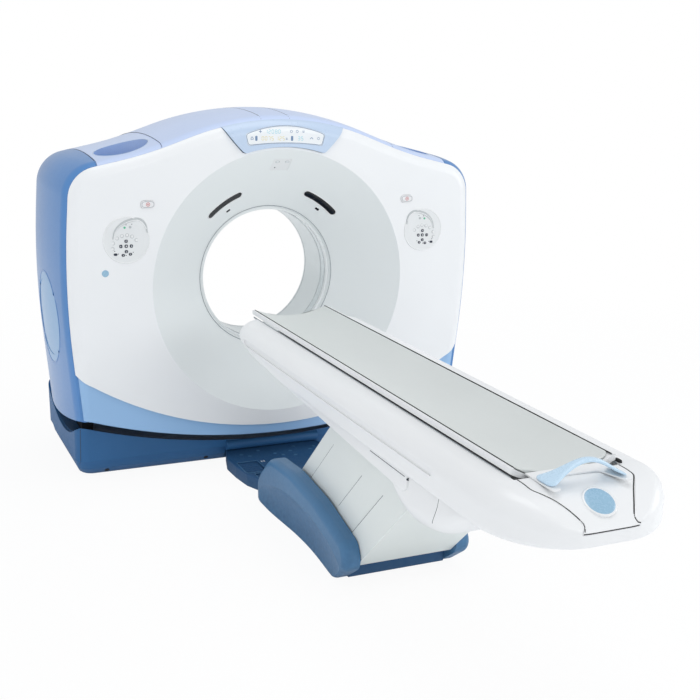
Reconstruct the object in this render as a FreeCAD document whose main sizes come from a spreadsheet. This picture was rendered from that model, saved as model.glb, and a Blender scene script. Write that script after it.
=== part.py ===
import FreeCAD, Part
import math
import os
import re

import Sketcher

# A computed tomography scanner: a tilting gantry on a floor base, and a patient table with a
# parallel-arm lift and a sliding cradle. Millimetres, Z up. The origin is on the floor under the
# isocentre. The table stands at -Y, +X is to the right as seen from the table's foot end.

vector = FreeCAD.Vector
doc = FreeCAD.newDocument("ct_scanner")
sheet = doc.addObject("Spreadsheet::Sheet", "Sizes")

DIMENSIONS = [
    # gantry as a whole
    ("iso_height", 986, "bore axis and tilt axis above the floor"),
    ("gantry_half_width", 1142, "at the widest station"),
    ("crown_height", 1852, "top of the gantry"),
    ("cover_front", 500, "front face ahead of the bore centre"),
    ("cover_rear", 506, "rear face behind the bore centre"),
    ("cover_wall", 8, "moulded cover thickness"),
    ("cover_gap", 2, "joint between neighbouring covers"),
    ("edge_round", 60, "rounding of the front and rear cover edges"),
    ("edge_depth", 70, "depth over which that rounding runs"),
    ("plan_radius", 1830, "side shell curve seen from above"),
    ("widest_station", -100, "where the gantry is widest"),
    ("roof_radius", 2667, "roof curve seen from the side"),
    ("crown_radius", 1359, "crown arc seen from the front"),
    ("roof_slope", 0.37, "fall of the roof beside the crown"),
    ("shoulder_slope", 0.226, "fall of the shoulder"),
    ("saddle_place", 700, "where crown slope turns into shoulder slope"),
    ("saddle_radius", 2000, "hollow curve there"),
    ("shoulder_radius", 170, "upper outer corners"),
    ("side_radius", 4266, "side bulge seen from the front"),
    ("side_narrowing", 75, "side drawn in at the foot"),
    ("belly_front_radius", 3415, "under edge seen from the front"),
    ("belly_side_radius", 2100, "under edge seen from the side"),
    ("belly_height", 118, "lowest point of the tilting covers"),
    # bore
    ("bore_radius", 350, "patient bore"),
    ("liner_wall", 6, "bore tube thickness"),
    ("lip_radius", 372, "front lip of the bore"),
    ("cone_margin", 186, "crown to the mouth of the front cone"),
    ("tunnel_front", 259, "bore tube ahead of the centre"),
    ("tunnel_rear", 55, "bore tube behind the centre"),
    ("rear_cone_radius", 640, "mouth of the rear cone"),
    ("window_front", 232, "scan window ring, front edge"),
    ("window_rear", 184, "scan window ring, rear edge"),
    # front face
    ("apron_height", 230, "lowest point of the white cover"),
    ("apron_corner_place", 986, "where the white edge turns up"),
    ("apron_corner_height", 520, "and how high it is there"),
    ("apron_setback", 12, "apron behind the white cover"),
    ("button_place", 700, "stop buttons from the middle"),
    ("button_drop", 445, "stop buttons below the crown"),
    ("panel_place", 806, "control panels from the middle"),
    ("panel_drop", 614, "control panels below the crown"),
    ("panel_radius", 112, "control panel recess"),
    ("slot_share", 0.344, "laser slots, share of the way from the lip to the mouth of the cone"),
    ("slot_width", 24, "laser slot width"),
    ("display_half_width", 345, "display housing at its top"),
    ("display_waist", 268, "halfway up its sides"),
    ("display_low_half_width", 212, "and along its lower edge"),
    ("display_drop", 195, "its lower edge below the crown"),
    ("display_proud", 14, "display housing ahead of the cover"),
    ("seam_depth", 24, "front covers to side shells and lids, behind the front face"),
    ("lid_seam", 934, "side shell to shoulder lid"),
    ("crown_seam", 620, "shoulder lid to crown lid"),
    ("dish_place", 778, "shoulder dish from the middle"),
    ("dish_station", -300, "shoulder dish centre"),
    ("dish_radius", 130, "shoulder dish mouth"),
    ("dish_depth", 55, "shoulder dish depth"),
    # floor base of the gantry
    ("base_half_width", 1054, "at its top"),
    ("base_front", 400, "base ahead of the centre at its top"),
    ("base_rear", 430, "base behind the centre at its top"),
    ("base_top", 352, "before the hollow is cut"),
    ("cheek_place", 1036, "where the raised side edge begins"),
    ("cheek_radius", 724.3, "curve of the raised side edge"),
    ("cheek_centre_height", 902.2, "centre of that curve"),
    ("cheek_centre_station", -19.2, "centre of that curve"),
    ("base_foot_inset", 46, "how far the foot is set in at the sides"),
    ("base_foot_front", 310, "foot line ahead of the centre"),
    ("base_foot_rear", 360, "foot line behind the centre"),
    ("base_step_height", 92, "step line above the floor"),
    ("base_step", 5, "depth of that step"),
    ("base_corner", 60, "plan corners of the base"),
    ("base_wall", 6, "base cover thickness"),
    ("hollow_room", 82, "hollow below the tilting covers at the middle"),
    ("hollow_profile_radius", 3800, "hollow top seen from the front"),
    ("frame_plate", 12, "floor frame thickness"),
    ("tower_place", 900, "pivot tower inner face"),
    ("tower_thickness", 60, "pivot tower"),
    ("tower_half_depth", 72, "pivot tower"),
    ("trunnion_radius", 45, "tilt trunnion"),
    ("running_gap", 0.3, "pin to bore"),
    ("anchor_radius", 9, "floor anchor hole"),
    ("anchor_half_x", 700, "gantry anchors"),
    ("anchor_half_y", 250, "gantry anchors"),
    # rotating part
    ("rotor_outer", 800, "drum rim"),
    ("rotor_inner", 400, "drum hub opening"),
    ("rotor_half_depth", 22, "drum plate"),
    ("rotor_station", -150, "drum plate centre"),
    ("race_inner", 560, "bearing inner face"),
    ("race_split", 600, "bearing ball circle"),
    ("race_outer", 640, "bearing outer face"),
    ("race_gap", 1, "between the races"),
    ("race_front", -120, "bearing front face"),
    ("race_rear", -60, "bearing rear face"),
    ("ring_outer", 845, "tilting frame plate"),
    ("ring_front", 20, "tilting frame plate, front face"),
    ("ring_rear", 60, "tilting frame plate, rear face"),
    ("focus_radius", 541, "x-ray focus from the axis"),
    ("detector_radius", 408, "detector face from the axis"),
    ("pulley_radius", 60, "motor pulley"),
    ("pulley_drop", 720, "motor pulley below the axis"),
    ("pulley_side", 520, "motor pulley beside the axis"),
    ("belt_thickness", 4, "drive belt"),
    ("belt_gap", 0.6, "belt to rim"),
    ("sector_radius", 210, "tilt sector pitch radius"),
    ("pinion_radius", 30, "tilt pinion pitch radius"),
    # foot control
    ("control_back", 345, "foot control, gantry end"),
    ("control_front", 1010, "foot control, table end"),
    ("control_half_width", 291, "foot control at its widest"),
    ("control_height", 66, "foot control"),
    ("pedal_height", 60, "pedal top"),
    ("pedal_thickness", 14, "pedal"),
    # table lift
    ("arm_length", 720, "pivot to pivot"),
    ("arm_angle", 45, "rise of the arms at rest, degrees"),
    ("pivot_height", 165, "lower pivots"),
    ("front_pivot", -1265, "lower front pivot"),
    ("rear_pivot", -1915, "lower rear pivot"),
    ("second_cover_line", -1795, "hinge line of the second leg cover"),
    ("third_cover_line", -1469, "hinge line of the third leg cover"),
    ("arm_place", 150, "arm inner face"),
    ("arm_thickness", 20, "arm"),
    ("arm_half_height", 28, "arm"),
    ("pin_radius", 16, "lift pivot pins"),
    ("ear_place", 176, "pivot ears, inner face"),
    ("ear_thickness", 20, "pivot ears"),
    ("leg_half_width", 222, "outermost leg cover"),
    ("leg_wall", 2.5, "leg cover sheet"),
    ("leg_gap", 1.5, "between leg covers"),
    ("table_plate", 20, "floor plate of the table"),
    ("table_anchor_half_x", 120, "table anchors"),
    ("table_anchor_half_y", 260, "table anchors"),
    ("bar_height", 72, "end bar"),
    # shoes
    ("shoe_inner", 225.5, "shoe inner face"),
    ("shoe_outer", 300, "shoe outer face"),
    ("scoop_radius", 218, "hollow in the outer face of a shoe"),
    ("cover_pin", 8, "stub pins of the middle leg covers"),
    # table body
    ("body_half_width", 335, "table body"),
    ("body_top", 852, "table body"),
    ("body_bottom", 705, "table body"),
    ("body_head", -610, "gantry end"),
    ("body_foot", -3250, "foot end"),
    ("head_round", 215, "plan corners at the gantry end"),
    ("foot_round", 262, "plan corners at the foot end"),
    ("foot_slope_length", 210, "length of the slope at the foot end"),
    ("foot_slope_radius", 274, "curve of that slope"),
    ("body_edge_round", 68, "top edge"),
    ("body_under_round", 22, "lower edge"),
    ("body_wall", 8, "table body"),
    ("channel_half_width", 207, "cradle channel"),
    ("channel_floor", 800, "cradle channel"),
    ("channel_foot", -3012, "foot end of the channel"),
    ("belly_half_width", 300, "belly fairing"),
    ("belly_pod", 515, "lowest point of the belly fairing"),
    ("belly_skirt", 668, "lower edge of its skirts"),
    ("beam_place", 176, "table frame beams, inner face"),
    ("beam_top", 788, "table frame"),
    ("beam_bottom", 732, "table frame"),
    # cradle
    ("cradle_half_width", 203, "cradle"),
    ("cradle_head", -612, "cradle, gantry end"),
    ("cradle_foot", -2985, "cradle, foot end"),
    ("cradle_edge", 880, "cradle lips"),
    ("pad_half_width", 188, "cradle pad"),
    ("pad_edge", 884, "pad edges"),
    ("pad_radius", 452, "hollow of the pad"),
    ("pad_thickness", 22, "pad"),
    ("rail_place", 90, "cradle rails"),
    ("rail_gap", 0.5, "runner to rail"),
    ("handle_half_width", 150, "pull handle"),
    ("handle_top", 931, "pull handle"),
    ("handle_foot", -3143, "pull handle, foot end"),
]

for row, (alias, value, note) in enumerate(DIMENSIONS, 1):
    sheet.set(f"A{row}", alias)
    sheet.set(f"B{row}", str(value))
    sheet.set(f"C{row}", note)
    sheet.setAlias(f"B{row}", alias)
doc.recompute()

aliases = [alias for alias, _, _ in DIMENSIONS]
alias_pattern = re.compile(r"\b(" + "|".join(aliases) + r")\b")


def size(text):
    """The value of a text such as 'bore_radius + liner_wall', from the sheet."""
    return float(sheet.evalExpression(text))


def linked(text):
    """The same text with every dimension written as a link to the sheet."""
    return alias_pattern.sub(r"Sizes.\1", str(text))


def bind(thing, prop, text):
    """Bind one property of a document object to the sheet."""
    thing.setExpression(prop, linked(text))


def place(thing, x="0", y="0", z="0"):
    """Bind the position of a document object to the sheet."""
    for axis, text in (("x", x), ("y", y), ("z", z)):
        if str(text) != "0":
            bind(thing, f".Placement.Base.{axis}", text)


pieces = []


def piece(label, thing):
    """Register a document object as one sub-part of the scanner."""
    thing.Label = label
    pieces.append(thing)
    return thing


def feature(label, shape):
    """A sub-part whose shape is worked out by the functions below."""
    thing = doc.addObject("Part::Feature", label)
    thing.Shape = shape
    return piece(label, thing)


# bound primitives

turn_to_x = FreeCAD.Rotation(vector(0, 1, 0), 90)


def block(name, length, width, height, x, y, z):
    thing = doc.addObject("Part::Box", name)
    bind(thing, "Length", length)
    bind(thing, "Width", width)
    bind(thing, "Height", height)
    place(thing, x, y, z)
    return thing


def rod(name, radius, length, x, y, z, rotation=FreeCAD.Rotation()):
    thing = doc.addObject("Part::Cylinder", name)
    thing.Placement = FreeCAD.Placement(vector(0, 0, 0), rotation)
    bind(thing, "Radius", radius)
    bind(thing, "Height", length)
    place(thing, x, y, z)
    return thing


def fuse(name, *things):
    thing = doc.addObject("Part::MultiFuse", f"{name}_fuse")
    thing.Shapes = list(things)
    return thing


def sketch_in(body, plane, points):
    """A closed sketch whose corners are bound to the sheet."""
    sketch = body.newObject("Sketcher::SketchObject", "profile")
    support = [p for p in body.Origin.OriginFeatures if p.Role == plane][0]
    sketch.AttachmentSupport = (support, "")
    sketch.MapMode = "FlatFace"
    corners = [vector(size(a), size(b), 0) for a, b in points]
    count = len(corners)
    for index in range(count):
        line = Part.LineSegment(corners[index], corners[(index + 1) % count])
        sketch.addGeometry(line, False)
    for index in range(count):
        join = Sketcher.Constraint("Coincident", index, 2, (index + 1) % count, 1)
        sketch.addConstraint(join)
    for index, (a, b) in enumerate(points):
        for kind, text in (("DistanceX", a), ("DistanceY", b)):
            rule = Sketcher.Constraint(kind, -1, 1, index, 1, size(text))
            number = sketch.addConstraint(rule)
            sketch.setExpression(f"Constraints[{number}]", linked(text))
    return sketch


def turned(name, points):
    """A ring about the bore axis from a profile of (radius, station) corners."""
    body = doc.addObject("PartDesign::Body", name)
    sketch = sketch_in(body, "XY_Plane", points)
    spin = body.newObject("PartDesign::Revolution", "turn")
    spin.Profile = sketch
    spin.ReferenceAxis = (sketch, ["V_Axis"])
    spin.Angle = 360
    place(body, z="iso_height")
    return body


# free shapes


def rounded_wire(corners, plane_point):
    """A closed wire through (a, b, radius) corners, each rounded by a tangent arc."""
    count = len(corners)
    stops = []
    for index in range(count):
        before = vector(*corners[index - 1][:2], 0)
        here = vector(*corners[index][:2], 0)
        after = vector(*corners[(index + 1) % count][:2], 0)
        radius = corners[index][2]
        into = (here - before).normalize()
        out = (after - here).normalize()
        turn = math.atan2(into.cross(out).z, into.dot(out))
        reach = radius * abs(math.tan(turn / 2))
        start = here - into * reach
        end = here + out * reach
        middle = None
        if reach > 1e-6:
            bisector = (out - into).normalize()
            depth = radius / math.cos(turn / 2) - radius
            middle = here + bisector * depth
        stops.append((start, middle, end))
    edges = []
    for index in range(count):
        start, middle, end = [plane_point(p) if p else None for p in stops[index]]
        following = plane_point(stops[(index + 1) % count][0])
        if middle:
            edges.append(Part.Arc(start, middle, end).toShape())
        if (following - end).Length > 1e-6:
            edges.append(Part.LineSegment(end, following).toShape())
    return Part.Wire(edges)


def prism(corners, plane, start, end):
    """A rounded outline pushed from one station to another along the plane's normal."""
    lift = {
        "XY": (lambda p: vector(p.x, p.y, start), vector(0, 0, end - start)),
        "XZ": (lambda p: vector(p.x, start, p.y), vector(0, end - start, 0)),
        "YZ": (lambda p: vector(start, p.x, p.y), vector(end - start, 0, 0)),
    }[plane]
    return Part.Face(rounded_wire(corners, lift[0])).extrude(lift[1])


def slab(x0, x1, y0, y1, z0, z1):
    return Part.makeBox(x1 - x0, y1 - y0, z1 - z0, vector(x0, y0, z0))


def both_sides(corners):
    """Corners given for +X are repeated mirrored for -X, the other way round."""
    return corners + [(-a, b, r) for a, b, r in reversed(corners)]


def mirrored(shape):
    return shape.mirror(vector(0, 0, 0), vector(1, 0, 0))


reach = 3000.0  # larger than any piece, for cutting tools
iso = size("iso_height")
side_reach = 1300.0  # beyond the widest cover on either side
wall = size("cover_wall")
gap = size("cover_gap")


def gantry_section(station, inset):
    """Front-view outline of the tilting covers at one station, drawn in by an inset."""
    half = size("gantry_half_width") - (station - size("widest_station")) ** 2 / (2 * size("plan_radius"))
    top = size("crown_height") - (station - size("widest_station")) ** 2 / (2 * size("roof_radius"))
    half -= inset
    steep = size("roof_slope")
    gentle = size("shoulder_slope")
    crown_radius = size("crown_radius") - inset
    apex = top - inset + crown_radius * (math.sqrt(1 + steep**2) - 1)
    saddle = size("saddle_place")
    saddle_z = apex - steep * saddle
    shoulder_x = half - 22
    shoulder_z = saddle_z - gentle * (shoulder_x - saddle)
    corners = [
        (half - size("side_narrowing"), 60, 0),
        (half + 14, iso + 14, size("side_radius")),
        (shoulder_x, shoulder_z, size("shoulder_radius") - inset),
        (saddle, saddle_z, size("saddle_radius") + inset),
        (0, apex, crown_radius),
    ]
    full = corners + [(-a, b, r) for a, b, r in reversed(corners[:-1])]
    return rounded_wire(full, lambda p: vector(p.x, station, p.y))


def gantry_loft(stations, straight=False):
    return Part.makeLoft([gantry_section(y, inset) for y, inset in stations], True, straight)


def rounded_end(face, back, extra):
    """Stations from a rounded end face to the full section: a quarter ellipse in four steps."""
    depth = size("edge_depth")
    way = 1 if back > face else -1
    steps = []
    for degrees in (0, 25, 55, 90):
        angle = math.radians(degrees)
        inset = size("edge_round") * (1 - math.sin(angle))
        steps.append((face + way * depth * (1 - math.cos(angle)), inset + extra))
    return steps


def revolved_x(profile, centre_z):
    """A solid of revolution about an axis along X at the given height."""
    face = Part.Face(Part.Wire(profile))
    return face.revolve(vector(0, 0, centre_z), vector(1, 0, 0), 360)


def barrel(centre_z, middle_radius, profile_radius, half_length):
    """A barrel about an axis along X whose profile is one arc."""
    end_radius = middle_radius - profile_radius + math.sqrt(profile_radius**2 - half_length**2)
    low = vector(-half_length, 0, centre_z - end_radius)
    middle = vector(0, 0, centre_z - middle_radius)
    high = vector(half_length, 0, centre_z - end_radius)
    axis_low = vector(-half_length, 0, centre_z)
    axis_high = vector(half_length, 0, centre_z)
    profile = [
        Part.LineSegment(axis_low, low).toShape(),
        Part.Arc(low, middle, high).toShape(),
        Part.LineSegment(high, axis_high).toShape(),
        Part.LineSegment(axis_high, axis_low).toShape(),
    ]
    return revolved_x(profile, centre_z)


def bore_cylinder(radius, start, end):
    return Part.makeCylinder(radius, end - start, vector(0, start, iso), vector(0, 1, 0))


def cone_shell(points):
    """A ring about the bore axis from (radius, station) corners."""
    corners = [vector(r, y, iso) for r, y in points]
    face = Part.Face(Part.makePolygon(corners + corners[:1]))
    return face.revolve(vector(0, 0, iso), vector(0, 1, 0), 360)


# gantry covers

front = -size("cover_front")
rear = size("cover_rear")
shell_front = front + size("edge_depth")
shell_rear = rear - size("edge_depth")
hollow = size("iso_height - belly_height + hollow_room")
hollow_profile = size("hollow_profile_radius")
belly = barrel(
    size("belly_height + belly_side_radius"),
    size("belly_side_radius"),
    size("belly_front_radius"),
    side_reach,
)
upper_room = slab(-side_reach, side_reach, -reach, reach, iso, reach)
swept = barrel(iso, hollow - 8, hollow_profile, side_reach).fuse(upper_room)
belly = belly.common(swept)


def white_region():
    """Front-view region of the white cover, above its curved lower edge."""
    corner_x = size("apron_corner_place")
    corner_z = size("apron_corner_height")
    low = size("apron_height")
    edge_x = size("gantry_half_width") - 44
    ahead = front - 50
    points = [vector(-corner_x, ahead, corner_z), vector(0, ahead, low), vector(corner_x, ahead, corner_z)]
    right = [vector(corner_x + 72, ahead, corner_z + 56), vector(edge_x, ahead, corner_z + 132)]
    left = [vector(-p.x, p.y, p.z) for p in right]
    top = crown + 200
    wide = side_reach + 100
    open_top = [
        right[1],
        vector(wide, ahead, corner_z + 330),
        vector(wide, ahead, top),
        vector(-wide, ahead, top),
        vector(-wide, ahead, corner_z + 330),
        left[1],
    ]
    edges = [
        Part.Arc(*points).toShape(),
        Part.Arc(points[2], right[0], right[1]).toShape(),
        Part.makePolygon(open_top),
        Part.Arc(left[1], left[0], points[0]).toShape(),
    ]
    flat = []
    for edge in edges:
        flat.extend(edge.Edges)
    return Part.Face(Part.Wire(flat)).extrude(vector(0, 300, 0))


crown = size("crown_height")
front_stations = rounded_end(front, shell_front, 0)
rear_stations = rounded_end(rear, shell_rear, 0)
front_block = gantry_loft(front_stations)
front_core = gantry_loft([(front + wall, size("edge_round")), (shell_front, wall)], True)
middle_stations = [shell_front, -210, 10, 230, shell_rear - gap]
middle_block = gantry_loft([(y, 0) for y in middle_stations])
middle_core = gantry_loft([(y, wall) for y in (shell_front - 20, -260, -100, 60, 240, shell_rear + 20)], True)
rear_block = gantry_loft(rear_stations)
rear_core = gantry_loft([(rear - wall, size("edge_round")), (shell_rear, wall)], True)
white = white_region()

front_rim = size("crown_height - iso_height - cone_margin")
lip = size("lip_radius")
tunnel_front = -size("tunnel_front")
front_cone = cone_shell([
    (front_rim, front),
    (lip, tunnel_front - 12),
    (lip - 8, tunnel_front),
    (lip + 4, tunnel_front),
    (front_rim + 1.4 * wall, front + wall),
    (front_rim + 1.4 * wall, front),
])


# the display housing fills a notch at the crown of the white cover
def display_region(grow, start, end):
    """The housing's outline from the front: lower edge round the cone, flared sides."""
    low_half = size("display_low_half_width") + grow
    waist = size("display_waist") + grow
    top_half = size("display_half_width") + grow
    low_radius = size("crown_height - display_drop") + 22 - iso - grow
    low_z = iso + math.sqrt(low_radius**2 - low_half**2)
    low = vector(low_half, start, low_z)
    side = vector(waist, start, low_z + 57)
    corner = vector(top_half, start, low_z + 157)
    top = vector(top_half, start, crown + 60)
    low_left, side_left, corner_left, top_left = [vector(-p.x, p.y, p.z) for p in (low, side, corner, top)]
    outline = Part.Wire([
        Part.Arc(low_left, vector(0, start, iso + low_radius), low).toShape(),
        Part.Arc(low, side, corner).toShape(),
        Part.LineSegment(corner, top).toShape(),
        Part.LineSegment(top, top_left).toShape(),
        Part.LineSegment(top_left, corner_left).toShape(),
        Part.Arc(corner_left, side_left, low_left).toShape(),
    ])
    region = Part.Face(outline).extrude(vector(0, end - start, 0))
    uprights = [e for e in region.Edges if abs(e.Length - (end - start)) < 0.01]
    return region.makeFillet(26 + grow, [e for e in uprights if abs(e.Vertexes[0].Z - low_z) < 1])


button_half_length = 34.0
button_half_height = 19.0
panel_recess = 5.0
panel_hollow = 600.0  # radius of the hollow in the panels' faces


def at_front(radius, x, z, depth):
    return Part.makeCylinder(radius, depth, vector(x, front - 1, z), vector(0, 1, 0))


def button_pocket(x, grow):
    z = size("crown_height - button_drop")
    across_half = button_half_length + grow
    upright_half = button_half_height + grow
    corner = 16 + grow
    outline = [
        (x - across_half, z - upright_half, corner),
        (x + across_half, z - upright_half, corner),
        (x + across_half, z + upright_half, corner),
        (x - across_half, z + upright_half, corner),
    ]
    return prism(outline, "XZ", front - 20, front + wall + 12)


def laser_slot(sign, grow):
    """One curved slot in the cone, along an arc about the bore axis."""
    radius = lip + (front_rim - lip) * size("slot_share")
    half = size("slot_width") / 2 + grow
    station = front + (front_rim - radius) / (front_rim - lip) * (tunnel_front - front)
    ring = bore_cylinder(radius + half, station - 20, station + 34)
    ring = ring.cut(bore_cylinder(radius - half, station - 30, station + 40))
    sweep = [vector(0, station, iso)]
    for degrees in (44, 56, 68):
        angle = math.radians(degrees)
        sweep.append(vector(sign * 700 * math.cos(angle), station, iso + 700 * math.sin(angle)))
    wedge = Part.Face(Part.makePolygon(sweep + sweep[:1])).extrude(vector(0, 120, 0))
    wedge.translate(vector(0, -60, 0))
    return ring.common(wedge)


def guide_outline(grow):
    """The light panel between the two laser slots, on the cone."""
    z = iso + 0.878 * front_rim
    outline = [
        (-53 - grow, z - 28, 8),
        (49 + grow, z - 28, 8),
        (55 + grow, z + 34, 8),
        (-41 - grow, z + 34, 8),
    ]
    return prism(outline, "XZ", front, front + 140)


front_seam = front + size("seam_depth")
front_shell = front_block.cut(front_core).cut(slab(-reach, reach, shell_front, reach, -reach, reach))
front_lip = front_shell.common(slab(-reach, reach, front_seam + gap, reach, -reach, reach))
ahead_of_seam = slab(-reach, reach, -reach, front_seam, -reach, reach)
white_shell = front_shell.common(white).common(ahead_of_seam)
white_shell = white_shell.cut(bore_cylinder(front_rim, front - 50, front + 100)).fuse(front_cone)
white_shell = white_shell.cut(display_region(gap, front - 60, shell_front + 20))
panel_z = size("crown_height - panel_drop")
for sign in (-1, 1):
    white_shell = white_shell.cut(button_pocket(sign * size("button_place"), 1.0))
    white_shell = white_shell.cut(laser_slot(sign, 0))
    recess = at_front(size("panel_radius"), sign * size("panel_place"), panel_z, wall + 3)
    white_shell = white_shell.cut(recess)
white_shell = white_shell.cut(guide_outline(0.5))
feature("front_cover", white_shell.common(belly))

apron_front = front + size("apron_setback")
apron_block = gantry_loft(rounded_end(apron_front, shell_front, 0))
apron_core = gantry_loft([(apron_front + wall, size("edge_round")), (shell_front, wall)], True)
apron_gap = white_region()
apron_gap.translate(vector(0, 0, -gap))
apron = apron_block.cut(apron_core).common(ahead_of_seam)
feature("front_apron", apron.cut(apron_gap).common(belly))

rear_rim = size("rear_cone_radius")
tunnel_rear = size("tunnel_rear")
bore = size("bore_radius")
rear_cone = cone_shell([
    (rear_rim, rear),
    (bore, tunnel_rear),
    (bore + wall + 6, tunnel_rear),
    (rear_rim + 1.4 * wall, rear - wall),
    (rear_rim + 1.4 * wall, rear),
])
rear_shell = rear_block.cut(rear_core).cut(slab(-reach, reach, -reach, shell_rear, -reach, reach))
rear_shell = rear_shell.cut(bore_cylinder(rear_rim, rear - 100, rear + 50)).fuse(rear_cone)
feature("rear_cover", rear_shell.common(belly))

middle_shell = middle_block.cut(middle_core).fuse(front_lip)
seam = size("lid_seam")
crown_seam = size("crown_seam")
plate_inset = gantry_loft([(y, 2.5) for y in (shell_front - 20, -210, 10, 230, shell_rear + 20)])
plate = Part.Face(Part.Wire(Part.Ellipse(vector(0, 0, 0), 230, 190).toShape()))
plate.rotate(vector(0, 0, 0), vector(0, 1, 0), 90)
plate.rotate(vector(0, 0, 0), vector(1, 0, 0), 90)
plate.translate(vector(900, -170, 812))
plate = plate.extrude(vector(400, 0, 0)).cut(plate_inset)
right_shell = middle_shell.common(slab(seam, reach, -reach, reach, 0, reach)).common(belly).cut(plate)
feature("side_shell_right", right_shell)
feature("side_shell_left", mirrored(right_shell))

roof = middle_shell.common(slab(-seam, seam, -reach, reach, 1300, reach))
dish_depth = size("dish_depth")
dish_mouth = size("dish_radius")


def roof_height(x):
    """Height of the roof above a place beside the crown, at the dish station."""
    drop = (size("dish_station") - size("widest_station")) ** 2 / (2 * size("roof_radius"))
    radius = size("crown_radius")
    steep = size("roof_slope")
    apex = crown - drop + radius * (math.sqrt(1 + steep**2) - 1)
    saddle = size("saddle_place")
    return apex - steep * saddle - size("shoulder_slope") * (x - saddle)


dish_x = size("dish_place")
dish_station = size("dish_station")
dish_bottom = roof_height(dish_x) - dish_depth
lid_space = slab(crown_seam + gap, seam - gap, -reach, reach, 1300, reach)
boss = Part.makeCylinder(dish_mouth + wall, 300, vector(dish_x, dish_station, dish_bottom - wall))
pocket = Part.makeCylinder(dish_mouth, 300, vector(dish_x, dish_station, dish_bottom))
floor_edge = [e for e in pocket.Edges if abs(e.BoundBox.ZMax - dish_bottom) < 0.01 and e.Length > dish_mouth]
pocket = pocket.makeFillet(18, floor_edge)
cup_place = vector(dish_x, dish_station, dish_bottom)
cup = Part.makeCone(dish_mouth * 0.5, dish_mouth * 0.46, 5, cup_place, vector(0, 0, -1))
right_lid = roof.fuse(boss.common(front_block.fuse(middle_block))).common(lid_space)
right_lid = right_lid.cut(pocket).cut(cup)
feature("shoulder_lid_right", right_lid)
feature("shoulder_lid_left", mirrored(right_lid))
feature("crown_lid", roof.common(slab(-crown_seam, crown_seam, -reach, reach, 1300, reach)))

proud = size("display_proud")
housing_block = gantry_loft(rounded_end(front - proud, shell_front, 6))
display = housing_block.common(display_region(0, front - proud - 20, front_seam))


def window_region(grow):
    """Outline of the display window, curved above and below."""
    low = size("crown_height - display_drop") + 27
    top = low + 58
    points = [
        (-212 - grow, top),
        (0, low + 100 + grow),
        (212 + grow, top),
        (198 + grow, low - grow),
        (0, low + 13 - grow),
        (-198 - grow, low - grow),
    ]
    a, b, c, d, e, f = [vector(x, front - 60, z) for x, z in points]
    outline = Part.Wire([
        Part.Arc(a, b, c).toShape(),
        Part.LineSegment(c, d).toShape(),
        Part.Arc(d, e, f).toShape(),
        Part.LineSegment(f, a).toShape(),
    ])
    region = Part.Face(outline).extrude(vector(0, 100, 0))
    return region.makeFillet(13 + grow, [e for e in region.Edges if abs(e.Length - 100) < 0.01])


def set_back(depth):
    """The housing's block moved back, for the floor and the face of the window recess."""
    block_behind = housing_block.copy()
    block_behind.translate(vector(0, depth, 0))
    return block_behind


feature("display_housing", display.cut(window_region(0.8).cut(set_back(7))))
feature("display_window", window_region(0).common(set_back(1.5)).cut(set_back(6.5)))

# parts set into the front face
for side, sign in (("left", -1), ("right", 1)):
    x = sign * size("panel_place")
    panel = at_front(size("panel_radius") - 0.5, x, panel_z, wall + 1)
    hollow_centre = vector(x, front + panel_recess - panel_hollow, panel_z)
    panel = panel.cut(Part.makeSphere(panel_hollow, hollow_centre))
    feature(f"control_panel_{side}", panel)
    button = button_pocket(sign * size("button_place"), 0)
    button = button.common(slab(-reach, reach, front - 5, front + wall + 6, -reach, reach))
    collar = slab(-8, 8, front + wall + 6, front + wall + 14, -8, 8)
    collar.translate(vector(sign * size("button_place"), 0, size("crown_height - button_drop")))
    feature(f"stop_button_{side}", button.fuse(collar))

glass_skin = cone_shell([
    (front_rim, front + 6),
    (lip, tunnel_front - 6),
    (lip + 6, tunnel_front - 6),
    (front_rim + 6, front + 6),
])
glass = [laser_slot(sign, -0.6).common(glass_skin) for sign in (-1, 1)]
feature("laser_windows", Part.makeCompound(glass))
guide = guide_outline(0).common(cone_shell([
    (front_rim, front + 1),
    (lip, tunnel_front - 11),
    (lip + 7, tunnel_front - 11),
    (front_rim + 7, front + 1),
]))
feature("guide_light_panel", guide)

# bore tube: front liner with a lip flange, scan window ring, rear liner
piece("bore_liner_front", turned("bore_liner_front", [
    ("bore_radius", "-tunnel_front + 0.5"),
    ("lip_radius + 3", "-tunnel_front + 0.5"),
    ("lip_radius + 3", "-tunnel_front + 6"),
    ("bore_radius + liner_wall", "-tunnel_front + 6"),
    ("bore_radius + liner_wall", "-window_front"),
    ("bore_radius", "-window_front"),
]))
piece("scan_window", turned("scan_window", [
    ("bore_radius + 1", "-window_front"),
    ("bore_radius + 4", "-window_front"),
    ("bore_radius + 4", "-window_rear"),
    ("bore_radius + 1", "-window_rear"),
]))
piece("bore_liner_rear", turned("bore_liner_rear", [
    ("bore_radius", "-window_rear"),
    ("bore_radius + liner_wall", "-window_rear"),
    ("bore_radius + liner_wall", "tunnel_rear"),
    ("bore_radius", "tunnel_rear"),
]))

# tilting frame and drive

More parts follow.
